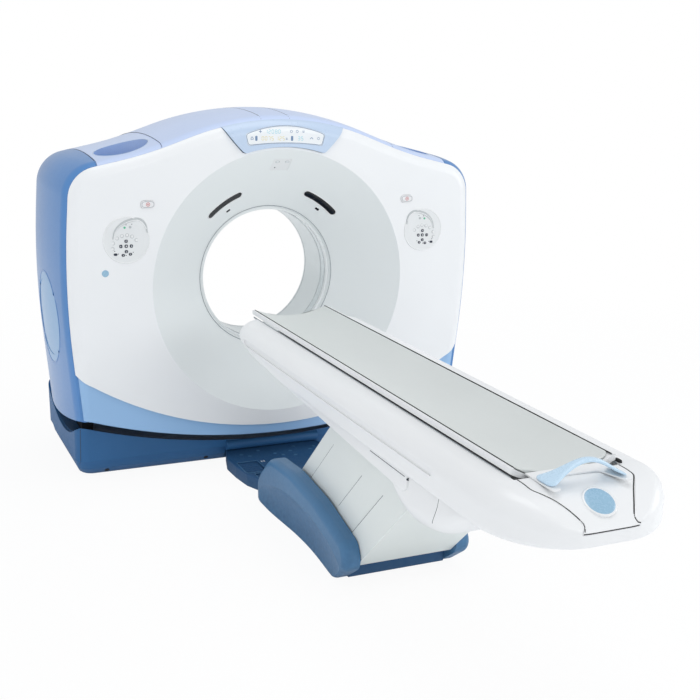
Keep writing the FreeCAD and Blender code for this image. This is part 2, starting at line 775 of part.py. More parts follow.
ring_plate = turned("ring_plate", [
    ("rotor_inner + 20", "ring_front"),
    ("ring_outer", "ring_front"),
    ("ring_outer", "ring_rear"),
    ("rotor_inner + 20", "ring_rear"),
])
race_seat = turned("race_seat", [
    ("race_outer", "race_front"),
    ("race_outer + 22", "race_front"),
    ("race_outer + 22", "ring_front + 1"),
    ("race_outer - 30", "ring_front + 1"),
    ("race_outer - 30", "race_rear"),
    ("race_outer", "race_rear"),
])
frame_parts = [ring_plate, race_seat]
pin_length = "tower_place + tower_thickness - ring_outer"
for side, cheek_x, pin_x in (
    ("left", "-ring_outer - 20", "-tower_place - tower_thickness"),
    ("right", "ring_outer - 10", "ring_outer"),
):
    cheek = block(f"cheek_{side}", "30", "ring_rear + 90", "260", cheek_x, "-90", "iso_height - 130")
    trunnion = rod(f"trunnion_{side}", "trunnion_radius", pin_length, pin_x, "0", "iso_height", turn_to_x)
    frame_parts += [cheek, trunnion]
shelf_thickness = "ring_rear - ring_front"
shelf_z = "iso_height - pulley_drop - 85"
shelf = block("motor_shelf", "180", shelf_thickness, "175", "pulley_side - 90", "ring_front", shelf_z)
frame_parts.append(shelf)
piece("tilting_frame", fuse("tilting_frame", *frame_parts))

piece("bearing_outer_race", turned("bearing_outer_race", [
    ("race_split + race_gap / 2", "race_front"),
    ("race_outer", "race_front"),
    ("race_outer", "race_rear"),
    ("race_split + race_gap / 2", "race_rear"),
]))
piece("bearing_inner_race", turned("bearing_inner_race", [
    ("race_inner", "race_front"),
    ("race_split - race_gap / 2", "race_front"),
    ("race_split - race_gap / 2", "race_rear"),
    ("race_inner", "race_rear"),
]))


def gear_outline(teeth, pitch_radius, start, end, tooth):
    """Points of a straight-sided gear rim between two angles, in degrees, about its centre."""
    step = (end - start) / teeth
    points = []
    for index in range(teeth):
        base = start + step * index
        for share, height in ((0.0, -tooth), (0.18, tooth), (0.42, tooth), (0.60, -tooth)):
            angle = math.radians(base + step * share)
            radius = pitch_radius + height
            points.append((math.cos(angle) * radius, math.sin(angle) * radius))
    return points


def across(points, x, thickness, centre_y, centre_z):
    """Push a (y, z) outline out along X about a centre."""
    corners = [vector(x, centre_y + a, centre_z + b) for a, b in points]
    return Part.Face(Part.makePolygon(corners + corners[:1])).extrude(vector(thickness, 0, 0))


# the sector hangs below the left trunnion and the pinion sits on the left tower
sector_teeth = 16
sector_radius = size("sector_radius")
pinion_radius = size("pinion_radius")
pinion_teeth = 12
sector_step = 360 / pinion_teeth * pinion_radius / sector_radius
sector_half = sector_step * sector_teeth / 2
sector_rim = gear_outline(sector_teeth, sector_radius, 270 - sector_half, 270 + sector_half, 3.0)
sector_back = [(60, -20), (-60, -20)]
sector_x = -size("tower_place") + 6
sector = across(sector_rim + sector_back, sector_x, 14, 0, iso)
sector = sector.fuse(Part.makeCylinder(70, 34, vector(-size("tower_place") + 6, 0, iso), vector(1, 0, 0)))
sector = sector.cut(Part.makeCylinder(size("trunnion_radius"), 200, vector(-1000, 0, iso), vector(1, 0, 0)))
sector = sector.cut(slab(-size("ring_outer") - 20, 0, -reach, reach, 0, reach))
feature("tilt_sector", sector)
pinion_rim = gear_outline(pinion_teeth, pinion_radius, 90 - 3, 450 - 3, 2.6)
pinion_z = iso - sector_radius - pinion_radius - 1.2
pinion = across(pinion_rim, sector_x - 1, 16, 0, pinion_z)
pinion_shaft = 14
pinion = pinion.fuse(Part.makeCylinder(pinion_shaft, 92, vector(sector_x - 78, 0, pinion_z), vector(1, 0, 0)))
feature("tilt_pinion", pinion)

# rotor

rotor_back = "rotor_station + rotor_half_depth"
rotor_front = "rotor_station - rotor_half_depth"
drum_plate = turned("drum_plate", [
    ("rotor_inner", rotor_front),
    ("rotor_outer - 30", rotor_front),
    ("rotor_outer - 30", "rotor_station - 60"),
    ("rotor_outer", "rotor_station - 60"),
    ("rotor_outer", rotor_back),
    ("race_split - race_gap / 2", rotor_back),
    ("race_split - race_gap / 2", "race_front"),
    ("race_inner", "race_front"),
    ("race_inner", "race_rear"),
    ("race_inner - 20", "race_rear"),
    ("race_inner - 20", rotor_back),
    ("rotor_inner", rotor_back),
])
piece("rotor_drum", drum_plate)

tube_station = size("rotor_station") - size("rotor_half_depth")
tube_z = iso + size("focus_radius") + 20
tube = Part.makeCylinder(84, 150, vector(0, tube_station - 150, tube_z), vector(0, 1, 0))
tube = tube.fuse(Part.makeCylinder(60, 165, vector(0, tube_station - 165, tube_z), vector(0, 1, 0)))
tube = tube.fuse(slab(-70, 70, tube_station - 130, tube_station, tube_z + 40, tube_z + 150))
tube = tube.cut(slab(-reach, reach, -reach, reach, 0, tube_z - 76))
feature("xray_tube", tube)
horn = [(-70, tube_z - 76, 0), (70, tube_z - 76, 0), (105, iso + 410, 0), (-105, iso + 410, 0)]
feature("collimator", prism(horn, "XZ", tube_station - 110, tube_station))
detector_face = size("detector_radius")
detector_side = [(-330, iso - 330, 0), (330, iso - 330, 0), (300, iso - 640, 40), (-300, iso - 640, 40)]
detector_box = prism(detector_side, "XZ", tube_station - 100, tube_station)
focus = vector(0, tube_station - 200, iso + size("focus_radius"))
fan = Part.makeCylinder(size("focus_radius") + detector_face, 400, focus, vector(0, 1, 0))
detector = detector_box.cut(fan).common(bore_cylinder(size("rotor_outer") - 60, -reach, reach))
detector = detector.common(slab(-300, 300, -reach, reach, 0, reach))
feature("detector", detector)
tanks = []
for sign, length in ((-1, 330), (1, 260)):
    tank = slab(-70, 70, tube_station - 110, tube_station, -length / 2, length / 2)
    tank = tank.makeFillet(12, [e for e in tank.Edges if abs(e.tangentAt(0).y) > 0.9])
    tank.translate(vector(sign * 560, 0, iso + 40))
    tanks.append(tank)
feature("generator_tanks", Part.makeCompound(tanks))
piece("slip_ring", turned("slip_ring", [
    ("rotor_inner + 4", rotor_back),
    ("race_inner - 24", rotor_back),
    ("race_inner - 24", "rotor_station + rotor_half_depth + 14"),
    ("rotor_inner + 4", "rotor_station + rotor_half_depth + 14"),
]))

# motor, pulley and belt: the belt wraps the drum rim and the pulley below it
pulley_at = vector(size("pulley_side"), 0, iso - size("pulley_drop"))
pulley_r = size("pulley_radius")
rim_r = size("rotor_outer")
belt_gap = size("belt_gap")
belt_t = size("belt_thickness")
belt_front = size("rotor_station") - 50
belt_width = 50
pulley = Part.makeCylinder(pulley_r, 60, vector(pulley_at.x, belt_front - 5, pulley_at.z), vector(0, 1, 0))
shaft_radius = 15
shaft_start = vector(pulley_at.x, belt_front + 40, pulley_at.z)
shaft = Part.makeCylinder(shaft_radius, 90, shaft_start, vector(0, 1, 0))
feature("motor_pulley", pulley.fuse(shaft))


def belt_loop(extra):
    """Outline round drum rim and pulley: two arcs and their outer tangents."""
    big = rim_r + belt_gap + extra
    small = pulley_r + belt_gap + extra
    away = vector(pulley_at.x, 0, pulley_at.z - iso)
    distance = away.Length
    bearing = math.atan2(away.z, away.x)
    lean = math.acos((big - small) / distance)

    def on(circle_x, circle_z, radius, angle):
        return vector(circle_x + radius * math.cos(angle), belt_front, circle_z + radius * math.sin(angle))

    a = on(0, iso, big, bearing + lean)
    b = on(0, iso, big, bearing - lean)
    far = on(0, iso, big, bearing + math.pi)
    c = on(pulley_at.x, pulley_at.z, small, bearing - lean)
    d = on(pulley_at.x, pulley_at.z, small, bearing + lean)
    near = on(pulley_at.x, pulley_at.z, small, bearing)
    wire = Part.Wire([
        Part.Arc(a, far, b).toShape(),
        Part.LineSegment(b, c).toShape(),
        Part.Arc(c, near, d).toShape(),
        Part.LineSegment(d, a).toShape(),
    ])
    return Part.Face(wire).extrude(vector(0, belt_width, 0))


feature("drive_belt", belt_loop(belt_t).cut(belt_loop(0)))
motor_y = belt_front + 80
motor_place = vector(pulley_at.x, motor_y, pulley_at.z)
shaft_place = vector(pulley_at.x, motor_y - 10, pulley_at.z)
motor = Part.makeCylinder(78, size("ring_front") - motor_y, motor_place, vector(0, 1, 0))
shaft_bore = Part.makeCylinder(shaft_radius + size("running_gap"), 300, shaft_place, vector(0, 1, 0))
feature("drive_motor", motor.cut(shaft_bore))

# floor base of the gantry


def base_outline(half, ahead, behind, radius, z, inset):
    corners = [(half - inset, -ahead + inset, radius), (half - inset, behind - inset, radius)]
    full = corners + [(-a, b, r) for a, b, r in reversed(corners)]
    return rounded_wire(full, lambda p: vector(p.x, p.y, z))


def base_block(inset, lift):
    """The base before its top is hollowed: a skirt below the step and a taller part above."""
    half = size("base_half_width")
    step_z = size("base_step_height")
    step = size("base_step")
    foot = half - size("base_foot_inset")
    radius = size("base_corner") - inset
    upper = Part.makeLoft([
        base_outline(half, size("base_front"), size("base_rear"), radius, size("base_top") + lift, inset),
        base_outline(half - 4, size("base_front") - 14, size("base_rear") - 14, radius, step_z, inset),
    ], True, True)
    drawn_in = [(step_z + 1, 0.0), (step_z * 0.45, 0.33), (step_z * 0.15, 0.68), (0 - lift, 1.0)]
    lower = Part.makeLoft([
        base_outline(
            half - 4 - step + (foot - half + 4 + step) * share,
            size("base_front") - 14 - step + (size("base_foot_front - base_front") + 14 + step) * share,
            size("base_rear") - 14 - step + (size("base_foot_rear - base_rear") + 14 + step) * share,
            radius, z, inset)
        for z, share in drawn_in
    ], True, True)
    return upper.fuse(lower)


base_wall = size("base_wall")
cheek_place = size("cheek_place")


def side_cheeks():
    """Space above the higher side edges of the base, beyond the barrel-shaped hollow."""
    axis_start = vector(-1300, size("cheek_centre_station"), size("cheek_centre_height"))
    cheeks = Part.makeCylinder(size("cheek_radius"), 2600, axis_start, vector(1, 0, 0))
    return cheeks.cut(slab(-cheek_place, cheek_place, -reach, reach, -reach, reach))


base = base_block(0, 0).cut(barrel(iso, hollow, hollow_profile, cheek_place)).cut(side_cheeks())
inner_half = size("base_half_width - base_foot_inset - base_wall")
inner = prism(both_sides([
    (inner_half, -size("base_foot_front") + base_wall + 4, size("base_corner")),
    (inner_half, size("base_foot_rear") - base_wall - 4, size("base_corner")),
]), "XY", -5, size("base_top"))
base = base.cut(inner.cut(barrel(iso, hollow + base_wall, hollow_profile, side_reach)))
tower_x0 = size("tower_place")
tower_x1 = tower_x0 + size("tower_thickness")
tower_y = size("tower_half_depth")
for sign in (-1, 1):
    low, high = sorted((sign * (tower_x0 - 4), sign * (tower_x1 + 4)))
    base = base.cut(slab(low, high, -tower_y - 4, tower_y + 4, -10, 400))
    for place_x, height in ((891, 22), (362, 28)):
        hole_place = vector(sign * place_x, -size("base_foot_front") - 50, height)
        base = base.cut(Part.makeCylinder(11, 90, hole_place, vector(0, 1, 0)))
roll_half = 262
roll_place = vector(-roll_half, -size("control_back") - 40, 96)
roll = Part.makeCylinder(27, 2 * roll_half, roll_place, vector(1, 0, 0))
roll = roll.cut(barrel(iso, hollow, hollow_profile, side_reach))
dock = slab(-roll_half, roll_half, -reach, -size("base_foot_front") - 8, -20, 76)
base = base.cut(dock).fuse(roll)
feature("base_cover", base)

frame_plate = size("frame_plate")
anchor_x = size("anchor_half_x")
anchor_y = size("anchor_half_y")
floor_plate = slab(-tower_x1 - 10, tower_x1 + 10, -anchor_y - 28, anchor_y + 28, 0, frame_plate)
for sign_x in (-1, 1):
    for sign_y in (-1, 1):
        anchor_place = vector(sign_x * anchor_x, sign_y * anchor_y, -20)
        floor_plate = floor_plate.cut(Part.makeCylinder(size("anchor_radius"), 60, anchor_place))
tower_side = [(-tower_y, 0, 0), (tower_y, 0, 0), (tower_y, iso + 78, 70), (-tower_y, iso + 78, 70)]
trunnion_hole = size("trunnion_radius + running_gap")
for sign in (-1, 1):
    low, high = sorted((sign * tower_x0, sign * tower_x1))
    floor_plate = floor_plate.fuse(prism(tower_side, "YZ", low, high))
    through = Part.makeCylinder(trunnion_hole, 2 * reach, vector(-reach, 0, iso), vector(1, 0, 0))
    floor_plate = floor_plate.cut(through)
pinion_place = vector(-tower_x1 - 50, 0, pinion_z)
pinion_bore = Part.makeCylinder(pinion_shaft + size("running_gap"), 300, pinion_place, vector(1, 0, 0))
feature("floor_frame", floor_plate.cut(pinion_bore))

# foot control

control_back = -size("control_back")
control_front = -size("control_front")
control_half = size("control_half_width")
control_height = size("control_height")
control = prism(both_sides([
    (control_half - 40, control_back, 20),
    (control_half, control_back - 145, 60),
    (control_half - 4, control_back - 275, 60),
    (control_half - 20, control_back - 400, 60),
    (control_half - 70, control_back - 520, 60),
    (control_half - 91, control_front, 20),
]), "XY", 0, control_height)
top_edges = [e for e in control.Edges if all(abs(v.Z - control_height) < 0.01 for v in e.Vertexes)]
control = control.makeFillet(9, top_edges)
pedal_top = size("pedal_height")
pedal_thickness = size("pedal_thickness")
pedal_floor = pedal_top - pedal_thickness
pedal_pin = 4
pedal_sizes = [("raise", 215, -590, 105, 150), ("lower", 190, -768, 84, 96)]
for name, middle_x, back_y, width, length in pedal_sizes:
    for side, sign in (("left", -1), ("right", 1)):
        x = sign * middle_x
        half = width / 2
        front_y = back_y - length
        well_floor = pedal_top - 48
        well = slab(x - half - 2, x + half + 2, front_y - 2, back_y + 2, well_floor, control_height + 5)
        control = control.cut(well)
        pad = slab(x - half, x + half, front_y, back_y, pedal_floor, pedal_top)
        pad = pad.makeFillet(5, [e for e in pad.Edges if abs(e.tangentAt(0).z) > 0.9])
        pin_place = vector(x - half - 8, back_y - 8, pedal_floor + 1)
        pin = Part.makeCylinder(pedal_pin, width + 16, pin_place, vector(1, 0, 0))
        bore_place = pin_place - vector(1, 0, 0)
        control = control.cut(Part.makeCylinder(pedal_pin + 0.4, width + 18, bore_place, vector(1, 0, 0)))
        feature(f"pedal_{name}_{side}", pad.fuse(pin))
feature("foot_control", control)

# table lift

arm_length = size("arm_length")
arm_angle = math.radians(size("arm_angle"))
along = vector(0, -math.cos(arm_angle), math.sin(arm_angle))
across_arm = vector(0, -math.sin(arm_angle), -math.cos(arm_angle))
pivot_z = size("pivot_height")
top_shift = along * arm_length


def leg_point(line_y, u, v):
    """A point in the leg: u up along the arms, v square to them towards the foot end."""
    return vector(0, line_y, pivot_z) + along * u + across_arm * v


def rectangle(u0, u1, v0, v1):
    return [(u0, v0), (u1, v0), (u1, v1), (u0, v1)]


def leg_plate(line_y, outline, x0, x1):
    corners = [leg_point(line_y, u, v) + vector(x0, 0, 0) for u, v in outline]
    return Part.Face(Part.makePolygon(corners + corners[:1])).extrude(vector(x1 - x0, 0, 0))


def leg_rod(line_y, u, v, radius, x0, x1):
    return Part.makeCylinder(radius, x1 - x0, leg_point(line_y, u, v) + vector(x0, 0, 0), vector(1, 0, 0))


arm_x0 = size("arm_place")
arm_x1 = size("arm_place + arm_thickness")
arm_half = size("arm_half_height")
ear_x0 = size("ear_place")
ear_x1 = size("ear_place + ear_thickness")
pin = size("pin_radius")
running = size("running_gap")
leg_wall = size("leg_wall")
leg_pitch = size("leg_wall + leg_gap")
leg_outer = size("leg_half_width")


def lift_arm(line_y):
    """Two side bars with round eyes, joined by two cross tubes."""
    arm = None
    for sign in (-1, 1):
        low, high = sorted((sign * arm_x0, sign * arm_x1))
        bar = leg_plate(line_y, rectangle(0, arm_length, -arm_half, arm_half), low, high)
        for u in (0, arm_length):
            bar = bar.fuse(leg_rod(line_y, u, 0, arm_half + 4, low, high))
        for u in (0, arm_length):
            bar = bar.cut(leg_rod(line_y, u, 0, pin + running, low - 5, high + 5))
        arm = bar if arm is None else arm.fuse(bar)
    for u in (arm_length * 0.25, arm_length * 0.75):
        arm = arm.fuse(leg_rod(line_y, u, 0, 20, -arm_x0 - 5, arm_x0 + 5))
    return arm


front_line = size("front_pivot")
rear_line = size("rear_pivot")
second_line = size("second_cover_line")
third_line = size("third_cover_line")
feature("lift_arm_front", lift_arm(front_line))
feature("lift_arm_rear", lift_arm(rear_line))


def leg_cover(line_y, outline, layer):
    """Both side sheets of one leg cover, layer 0 outermost."""
    outer = leg_outer - layer * leg_pitch
    sheets = []
    for sign in (-1, 1):
        low, high = sorted((sign * outer, sign * (outer - leg_wall)))
        sheets.append(leg_plate(line_y, outline, low, high))
    return sheets, outer


# foot-end cover: two sides, an end wall and brackets to the rear arm
foot_edge = 78.0
head_edge = -49.0
sheets, outer = leg_cover(rear_line, rectangle(-30, arm_length + 10, head_edge, foot_edge), 0)
wall_outline = rectangle(-30, arm_length + 10, foot_edge - leg_wall, foot_edge)
end_wall = leg_plate(rear_line, wall_outline, -outer, outer)
cover = sheets[0].fuse([sheets[1], end_wall])
for sign in (-1, 1):
    low, high = sorted((sign * arm_x0, sign * arm_x1))
    for u in (arm_length * 0.3, arm_length * 0.7):
        bracket = rectangle(u - 25, u + 25, arm_half, foot_edge - 1)
        cover = cover.fuse(leg_plate(rear_line, bracket, low, high))
feature("leg_cover_first", cover)

# two middle covers, each held square by tie rods
second_outline = [
    (30, -112),
    (arm_length - 60, -112),
    (arm_length + 15, -60),
    (arm_length + 15, 64),
    (0, 64),
    (0, -90),
]
third_outline = [
    (40, -112),
    (arm_length - 60, -112),
    (arm_length + 15, -60),
    (arm_length + 15, 90),
    (arm_length - 40, 172),
    (190, 172),
    (20, 60),
    (20, -95),
]
cover_pin = size("cover_pin")
for label, line_y, outline, layer, rods in (
    ("leg_cover_second", second_line, second_outline, 1, ((640, -20),)),
    ("leg_cover_third", third_line, third_outline, 2, ((420, 60), (600, 20))),
):
    sheets, outer = leg_cover(line_y, outline, layer)
    ties = [leg_rod(line_y, u, v, 6, -outer + 1, outer - 1) for u, v in rods]
    cover = sheets[0].fuse([sheets[1]] + ties)
    for sign in (-1, 1):
        low, high = sorted((sign * outer, sign * (outer - leg_wall)))
        cover = cover.fuse(leg_rod(line_y, 0, 0, 24, low, high))
        cover = cover.cut(leg_rod(line_y, 0, 0, cover_pin + running, low - 0.5, high + 0.5))
    feature(label, cover)

# gantry-end cover: two sides, an end wall and brackets to the front arm
sheets, outer = leg_cover(front_line, rectangle(0, arm_length, head_edge, 68), 3)
end_wall = leg_plate(front_line, rectangle(0, arm_length, head_edge, head_edge + leg_wall), -outer, outer)
cover = sheets[0].fuse([sheets[1], end_wall])
for sign in (-1, 1):
    low, high = sorted((sign * arm_x0, sign * arm_x1))
    for u in (arm_length * 0.3, arm_length * 0.7):
        bracket = rectangle(u - 25, u + 25, head_edge + 1, -arm_half)
        cover = cover.fuse(leg_plate(front_line, bracket, low, high))
feature("leg_cover_fourth", cover)

# floor plate with ears and pins
table_plate = size("table_plate")
plate_head = -1120.0
plate_foot = -1862.0
table_base = slab(-ear_x1 - 4, ear_x1 + 4, plate_foot, plate_head, 0, table_plate)
ear_round = size("arm_half_height") + 2
for sign in (-1, 1):
    low, high = sorted((sign * ear_x0, sign * ear_x1))
    for line_y, foot_y in ((front_line, front_line - 60), (rear_line, plate_foot)):
        head_y = line_y + 60 if line_y == front_line else line_y + 170
        web_side = [(foot_y, 0), (head_y, 0), (line_y + 26, pivot_z + 8), (line_y - 4, pivot_z - 24)]
        web = across(web_side, low, high - low, 0, 0)
        eye = Part.makeCylinder(ear_round, high - low, vector(low, line_y, pivot_z), vector(1, 0, 0))
        table_base = table_base.fuse(web.fuse(eye))
for line_y in (front_line, rear_line):
    pivot_place = vector(-ear_x1, line_y, pivot_z)
    table_base = table_base.fuse(Part.makeCylinder(pin, 2 * ear_x1, pivot_place, vector(1, 0, 0)))
anchor_mid = (plate_head + plate_foot) / 2
for sign_x in (-1, 1):
    for sign_y in (-1, 1):
        anchor_y = anchor_mid + sign_y * size("table_anchor_half_y")
        anchor_place = vector(sign_x * size("table_anchor_half_x"), anchor_y, -20)
        table_base = table_base.cut(Part.makeCylinder(size("anchor_radius"), 60, anchor_place))
feature("table_base_frame", table_base)

bar_top = size("bar_height")
bar_side = [(-1858, 6, 8), (-1858, bar_top, 8), (-1896, bar_top, 8), (-1884, 6, 8)]
shoe_in = size("shoe_inner")
feature("end_bar", prism(bar_side, "YZ", -shoe_in, shoe_in).cut(table_base))

# shoes

shoe_out = size("shoe_outer")
shoe_side = [
    (-960, 0, 40),
    (-1862, 0, 60),
    (-2006, 108, 60),
    (-1962, 200, 60),
    (-1660, 272, 500),
    (-1380, 300, 600),
    (-1110, 284, 170),
    (-950, 130, 110),
]
shoe = prism(shoe_side, "YZ", shoe_in, shoe_out)
rim_edges = [e for e in shoe.Edges if all(abs(v.X - shoe_out) < 0.01 for v in e.Vertexes)]
shoe = shoe.makeFillet(34, rim_edges)


def shoe_scoop():
    """A barrel along Y that hollows the outer face, deepest at the middle and near the floor."""
    middle_y = -1480
    half_length = 490
    axis_x = shoe_out + 170
    axis_z = 60
    end_radius = 168
    start = vector(axis_x, middle_y - half_length, axis_z)
    stop = vector(axis_x, middle_y + half_length, axis_z)
    low = vector(axis_x - end_radius, start.y, axis_z)
    middle = vector(axis_x - size("scoop_radius"), middle_y, axis_z)
    high = vector(axis_x - end_radius, stop.y, axis_z)
    profile = Part.Wire([
        Part.LineSegment(start, low).toShape(),
        Part.Arc(low, middle, high).toShape(),
        Part.LineSegment(high, stop).toShape(),
        Part.LineSegment(stop, start).toShape(),
    ])
    return Part.Face(profile).revolve(vector(axis_x, 0, axis_z), vector(0, 1, 0), 360)


shoe = shoe.cut(shoe_scoop())
for line_y, layer in ((second_line, 1), (third_line, 2)):
    stub_start = leg_outer - layer * leg_pitch - leg_wall - 0.5
    stub_place = vector(stub_start, line_y, pivot_z)
    shoe = shoe.fuse(Part.makeCylinder(cover_pin, shoe_in - stub_start + 10, stub_place, vector(1, 0, 0)))
feature("shoe_right", shoe)
feature("shoe_left", mirrored(shoe))

# table body

body_half = size("body_half_width")
body_head = size("body_head")
body_foot = size("body_foot")
body_top = size("body_top")
body_bottom = size("body_bottom")
body_wall = size("body_wall")


def body_plan(inset, z0, z1):
    return prism([
        (body_half - inset, body_head - inset, size("head_round") - inset),
        (-body_half + inset, body_head - inset, size("head_round") - inset),
        (-body_half + inset, body_foot + inset, size("foot_round") - inset),
        (body_half - inset, body_foot + inset, size("foot_round") - inset),
    ], "XY", z0, z1)


def nose_cut(rise):
    """Space under the sloping nose at the gantry end, raised by the wall for the inside."""
    return prism([
        (0, body_top - 17 + rise, 0),
        (body_head, body_top - 17 + rise, 0),
        (-977, 746 + rise, 260),
        (-1640, body_bottom - 2 + rise, 0),
        (-1640, body_bottom - 200, 0),
        (0, body_bottom - 200, 0),
    ], "YZ", -reach, reach)


edge_round = size("body_edge_round")
under_round = size("body_under_round")
foot_start = body_foot + size("foot_round")
slope_radius = size("foot_slope_radius")
slope_start = body_foot + size("foot_slope_length")


def foot_section(degrees):
    """Cross-section of the rounded, sloping foot end, by angle round its plan corner."""
    angle = math.radians(degrees)
    y = foot_start - size("foot_round") * math.sin(angle)
    half = body_half - size("foot_round") * (1 - math.cos(angle))
    fall = max(slope_start - y, 0)
    top = body_top - slope_radius + math.sqrt(slope_radius**2 - fall**2)
    share = (top - body_bottom) / (body_top - body_bottom)
    corners = both_sides([(half, body_bottom, under_round * share), (half, top, edge_round * share)])
    return rounded_wire(corners, lambda p: vector(p.x, y, p.y))


main_body = body_plan(0, body_bottom, body_top)
top_edges = [e for e in main_body.Edges if all(abs(v.Z - body_top) < 0.01 for v in e.Vertexes)]
main_body = main_body.makeFillet(edge_round, top_edges)
low_edges = [e for e in main_body.Edges if all(abs(v.Z - body_bottom) < 0.01 for v in e.Vertexes)]
main_body = main_body.makeFillet(under_round, low_edges)
main_body = main_body.common(slab(-reach, reach, foot_start, reach, 0, reach))
foot_end = Part.makeLoft([foot_section(degrees) for degrees in (0, 14, 30, 48, 66, 81, 90)], True)
envelope = main_body.fuse(foot_end)

channel = size("channel_half_width")
channel_floor = size("channel_floor")
channel_foot = size("channel_foot")
open_foot = -2905.0
table_body = envelope.cut(nose_cut(0))
table_body = table_body.cut(slab(-channel, channel, channel_foot, 0, channel_floor, reach))
cavity = body_plan(body_wall, body_bottom - 50, channel_floor - body_wall)
cavity = cavity.common(slab(-reach, reach, open_foot, reach, 0, reach))
cavity = cavity.cut(nose_cut(body_wall * 1.2))
paddle_hollow = body_plan(body_wall * 2, body_bottom + body_wall, channel_floor - body_wall)
paddle_hollow = paddle_hollow.common(slab(-reach, reach, slope_start - 90, open_foot - body_wall, 0, reach))
table_body = table_body.cut(cavity).cut(paddle_hollow)
groove_side = [(-860, 772, 14), (-860, 800, 14), (-2720, 800, 14), (-2720, 772, 14)]
groove = prism(groove_side, "YZ", body_half - 7, body_half + 40)
table_body = table_body.cut(groove).cut(mirrored(groove))


def panel_region(grow):
    """Plan of the foot panel, from its straight head edge to the narrow foot edge."""
    return prism(both_sides([
        (107 + grow, body_foot - 40, 0),
        (107 + grow, body_foot + 3, 3),
        (92 + grow, body_foot + 15, 8),
        (109 + grow, body_foot + 40, 14),
        (198 + grow, body_foot + 159, 45),
        (198 + grow, channel_foot, 0),
    ]), "XY", 749 - grow, reach)


def panel_skin(thickness):
    """The outer skin of the body's top and foot end."""
    under = envelope.copy()
    under.translate(vector(0, thickness, -thickness))
    return envelope.cut(under)


foot_panel = panel_skin(body_wall).common(panel_region(0))
table_body = table_body.cut(panel_skin(body_wall + 1).common(panel_region(1.5)))
feature("table_body", table_body)
feature("foot_panel", foot_panel)

# belly fairing: a pod with an open gantry end, its skirts beside the leg
belly_half = size("belly_half_width")
belly_skirt = size("belly_skirt")
belly_pod = size("belly_pod")
fairing_top = body_bottom - 0.5


def pod_section(y, low, radius, inset, lift=0):
    corners = both_sides([(belly_half - inset, low, radius), (belly_half - inset, fairing_top + lift, 0)])
    return rounded_wire(corners, lambda p: vector(p.x, y, p.y))


skirt_side = [
    (-1080, fairing_top, 0),
    (-1640, belly_skirt, 300),
    (-2400, belly_skirt, 0),
    (-2400, fairing_top, 0),
]
skirts = prism(skirt_side, "YZ", -belly_half, belly_half)
pod_shape = [
    (-2330, belly_skirt, 8),
    (-2400, belly_pod + 60, 44),
    (-2470, belly_pod + 8, 74),
    (-2580, belly_pod, 84),
    (-2700, belly_pod + 30, 80),
    (-2820, belly_pod + 100, 56),
    (-2925, fairing_top - 14, 9),
]
pod = Part.makeLoft([pod_section(y, low, radius, 0) for y, low, radius in pod_shape], True)
room_shape = [
    (-2438, belly_pod + 37, 62),
    (-2476, belly_pod + 16, 70),
    (-2580, belly_pod + 8, 77),
    (-2700, belly_pod + 39, 72),
    (-2815, belly_pod + 112, 46),
    (-2880, belly_pod + 158, 20),
]
pod_room = Part.makeLoft([pod_section(y, low, radius, body_wall, 30) for y, low, radius in room_shape], True)
bulge_side = [
    (-1250, fairing_top, 0),
    (-1640, belly_skirt + 4, 300),
    (-2470, belly_skirt - 44, 30),
    (-2500, belly_skirt - 24, 30),
    (-2500, fairing_top, 0),
]
bulge_face = belly_half + 8
bulge = prism(bulge_side, "YZ", belly_half - body_wall, bulge_face)
outer_edges = [e for e in bulge.Edges if all(abs(v.X - bulge_face) < 0.01 for v in e.Vertexes)]
bulge = bulge.makeFillet(6, [e for e in outer_edges if e.BoundBox.ZMin < fairing_top - 1])
fairing = pod.fuse([skirts, bulge, mirrored(bulge)])
leg_room = slab(-belly_half + body_wall, belly_half - body_wall, -2452, 0, 0, body_bottom + 10)
feature("belly_fairing", fairing.cut(leg_room).cut(pod_room))

# table frame: beams, hanging ears, cross plates, rails
beam_x0 = size("beam_place")
beam_x1 = beam_x0 + size("ear_thickness")
beam_top = size("beam_top")
beam_bottom = size("beam_bottom")
top_z = pivot_z + top_shift.z
frame = None
for sign in (-1, 1):
    low, high = sorted((sign * beam_x0, sign * beam_x1))
    beam = slab(low, high, -2880, -1400, beam_bottom, beam_top)
    front_top = front_line + top_shift.y
    rear_top = rear_line + top_shift.y
    for line_y in (front_top, rear_top):
        web_side = [
            (line_y - 62, beam_bottom + 5),
            (line_y + 4, beam_bottom + 5),
            (line_y + 22, top_z + 16),
            (line_y - 24, top_z - 8),
        ]
        web = across(web_side, low, high - low, 0, 0)
        eye = Part.makeCylinder(ear_round, high - low, vector(low, line_y, top_z), vector(1, 0, 0))
        beam = beam.fuse(web.fuse(eye))
    frame = beam if frame is None else frame.fuse(beam)
for line_y in (front_line + top_shift.y, rear_line + top_shift.y):
    frame = frame.fuse(Part.makeCylinder(pin, 2 * beam_x1, vector(-beam_x1, line_y, top_z), vector(1, 0, 0)))
for y in (-2860, -2250, -1650, -1400):
    frame = frame.fuse(slab(-beam_x1, beam_x1, y, y + 60, beam_top - 20, beam_top))
feature("table_frame", frame)

rail_x = size("rail_place")
rail_top = channel_floor + 8
rails = []
for x in (-rail_x, rail_x):
    rails.append(slab(x - 14, x + 14, -2990, -640, channel_floor, rail_top))
feature("cradle_rails", Part.makeCompound(rails))

# cradle, pad and handle

cradle_half = size("cradle_half_width")
cradle_head = size("cradle_head")
cradle_foot = size("cradle_foot")
pad_half = size("pad_half_width")
pad_edge = size("pad_edge")
pad_radius = size("pad_radius")
pad_thickness = size("pad_thickness")


def hollow_arc(half, edge_z, radius, y):
    """Edge points and lowest point of an upward-open arc."""
    sag = radius - math.sqrt(radius**2 - half**2)
    return vector(-half, y, edge_z), vector(0, y, edge_z - sag), vector(half, y, edge_z)


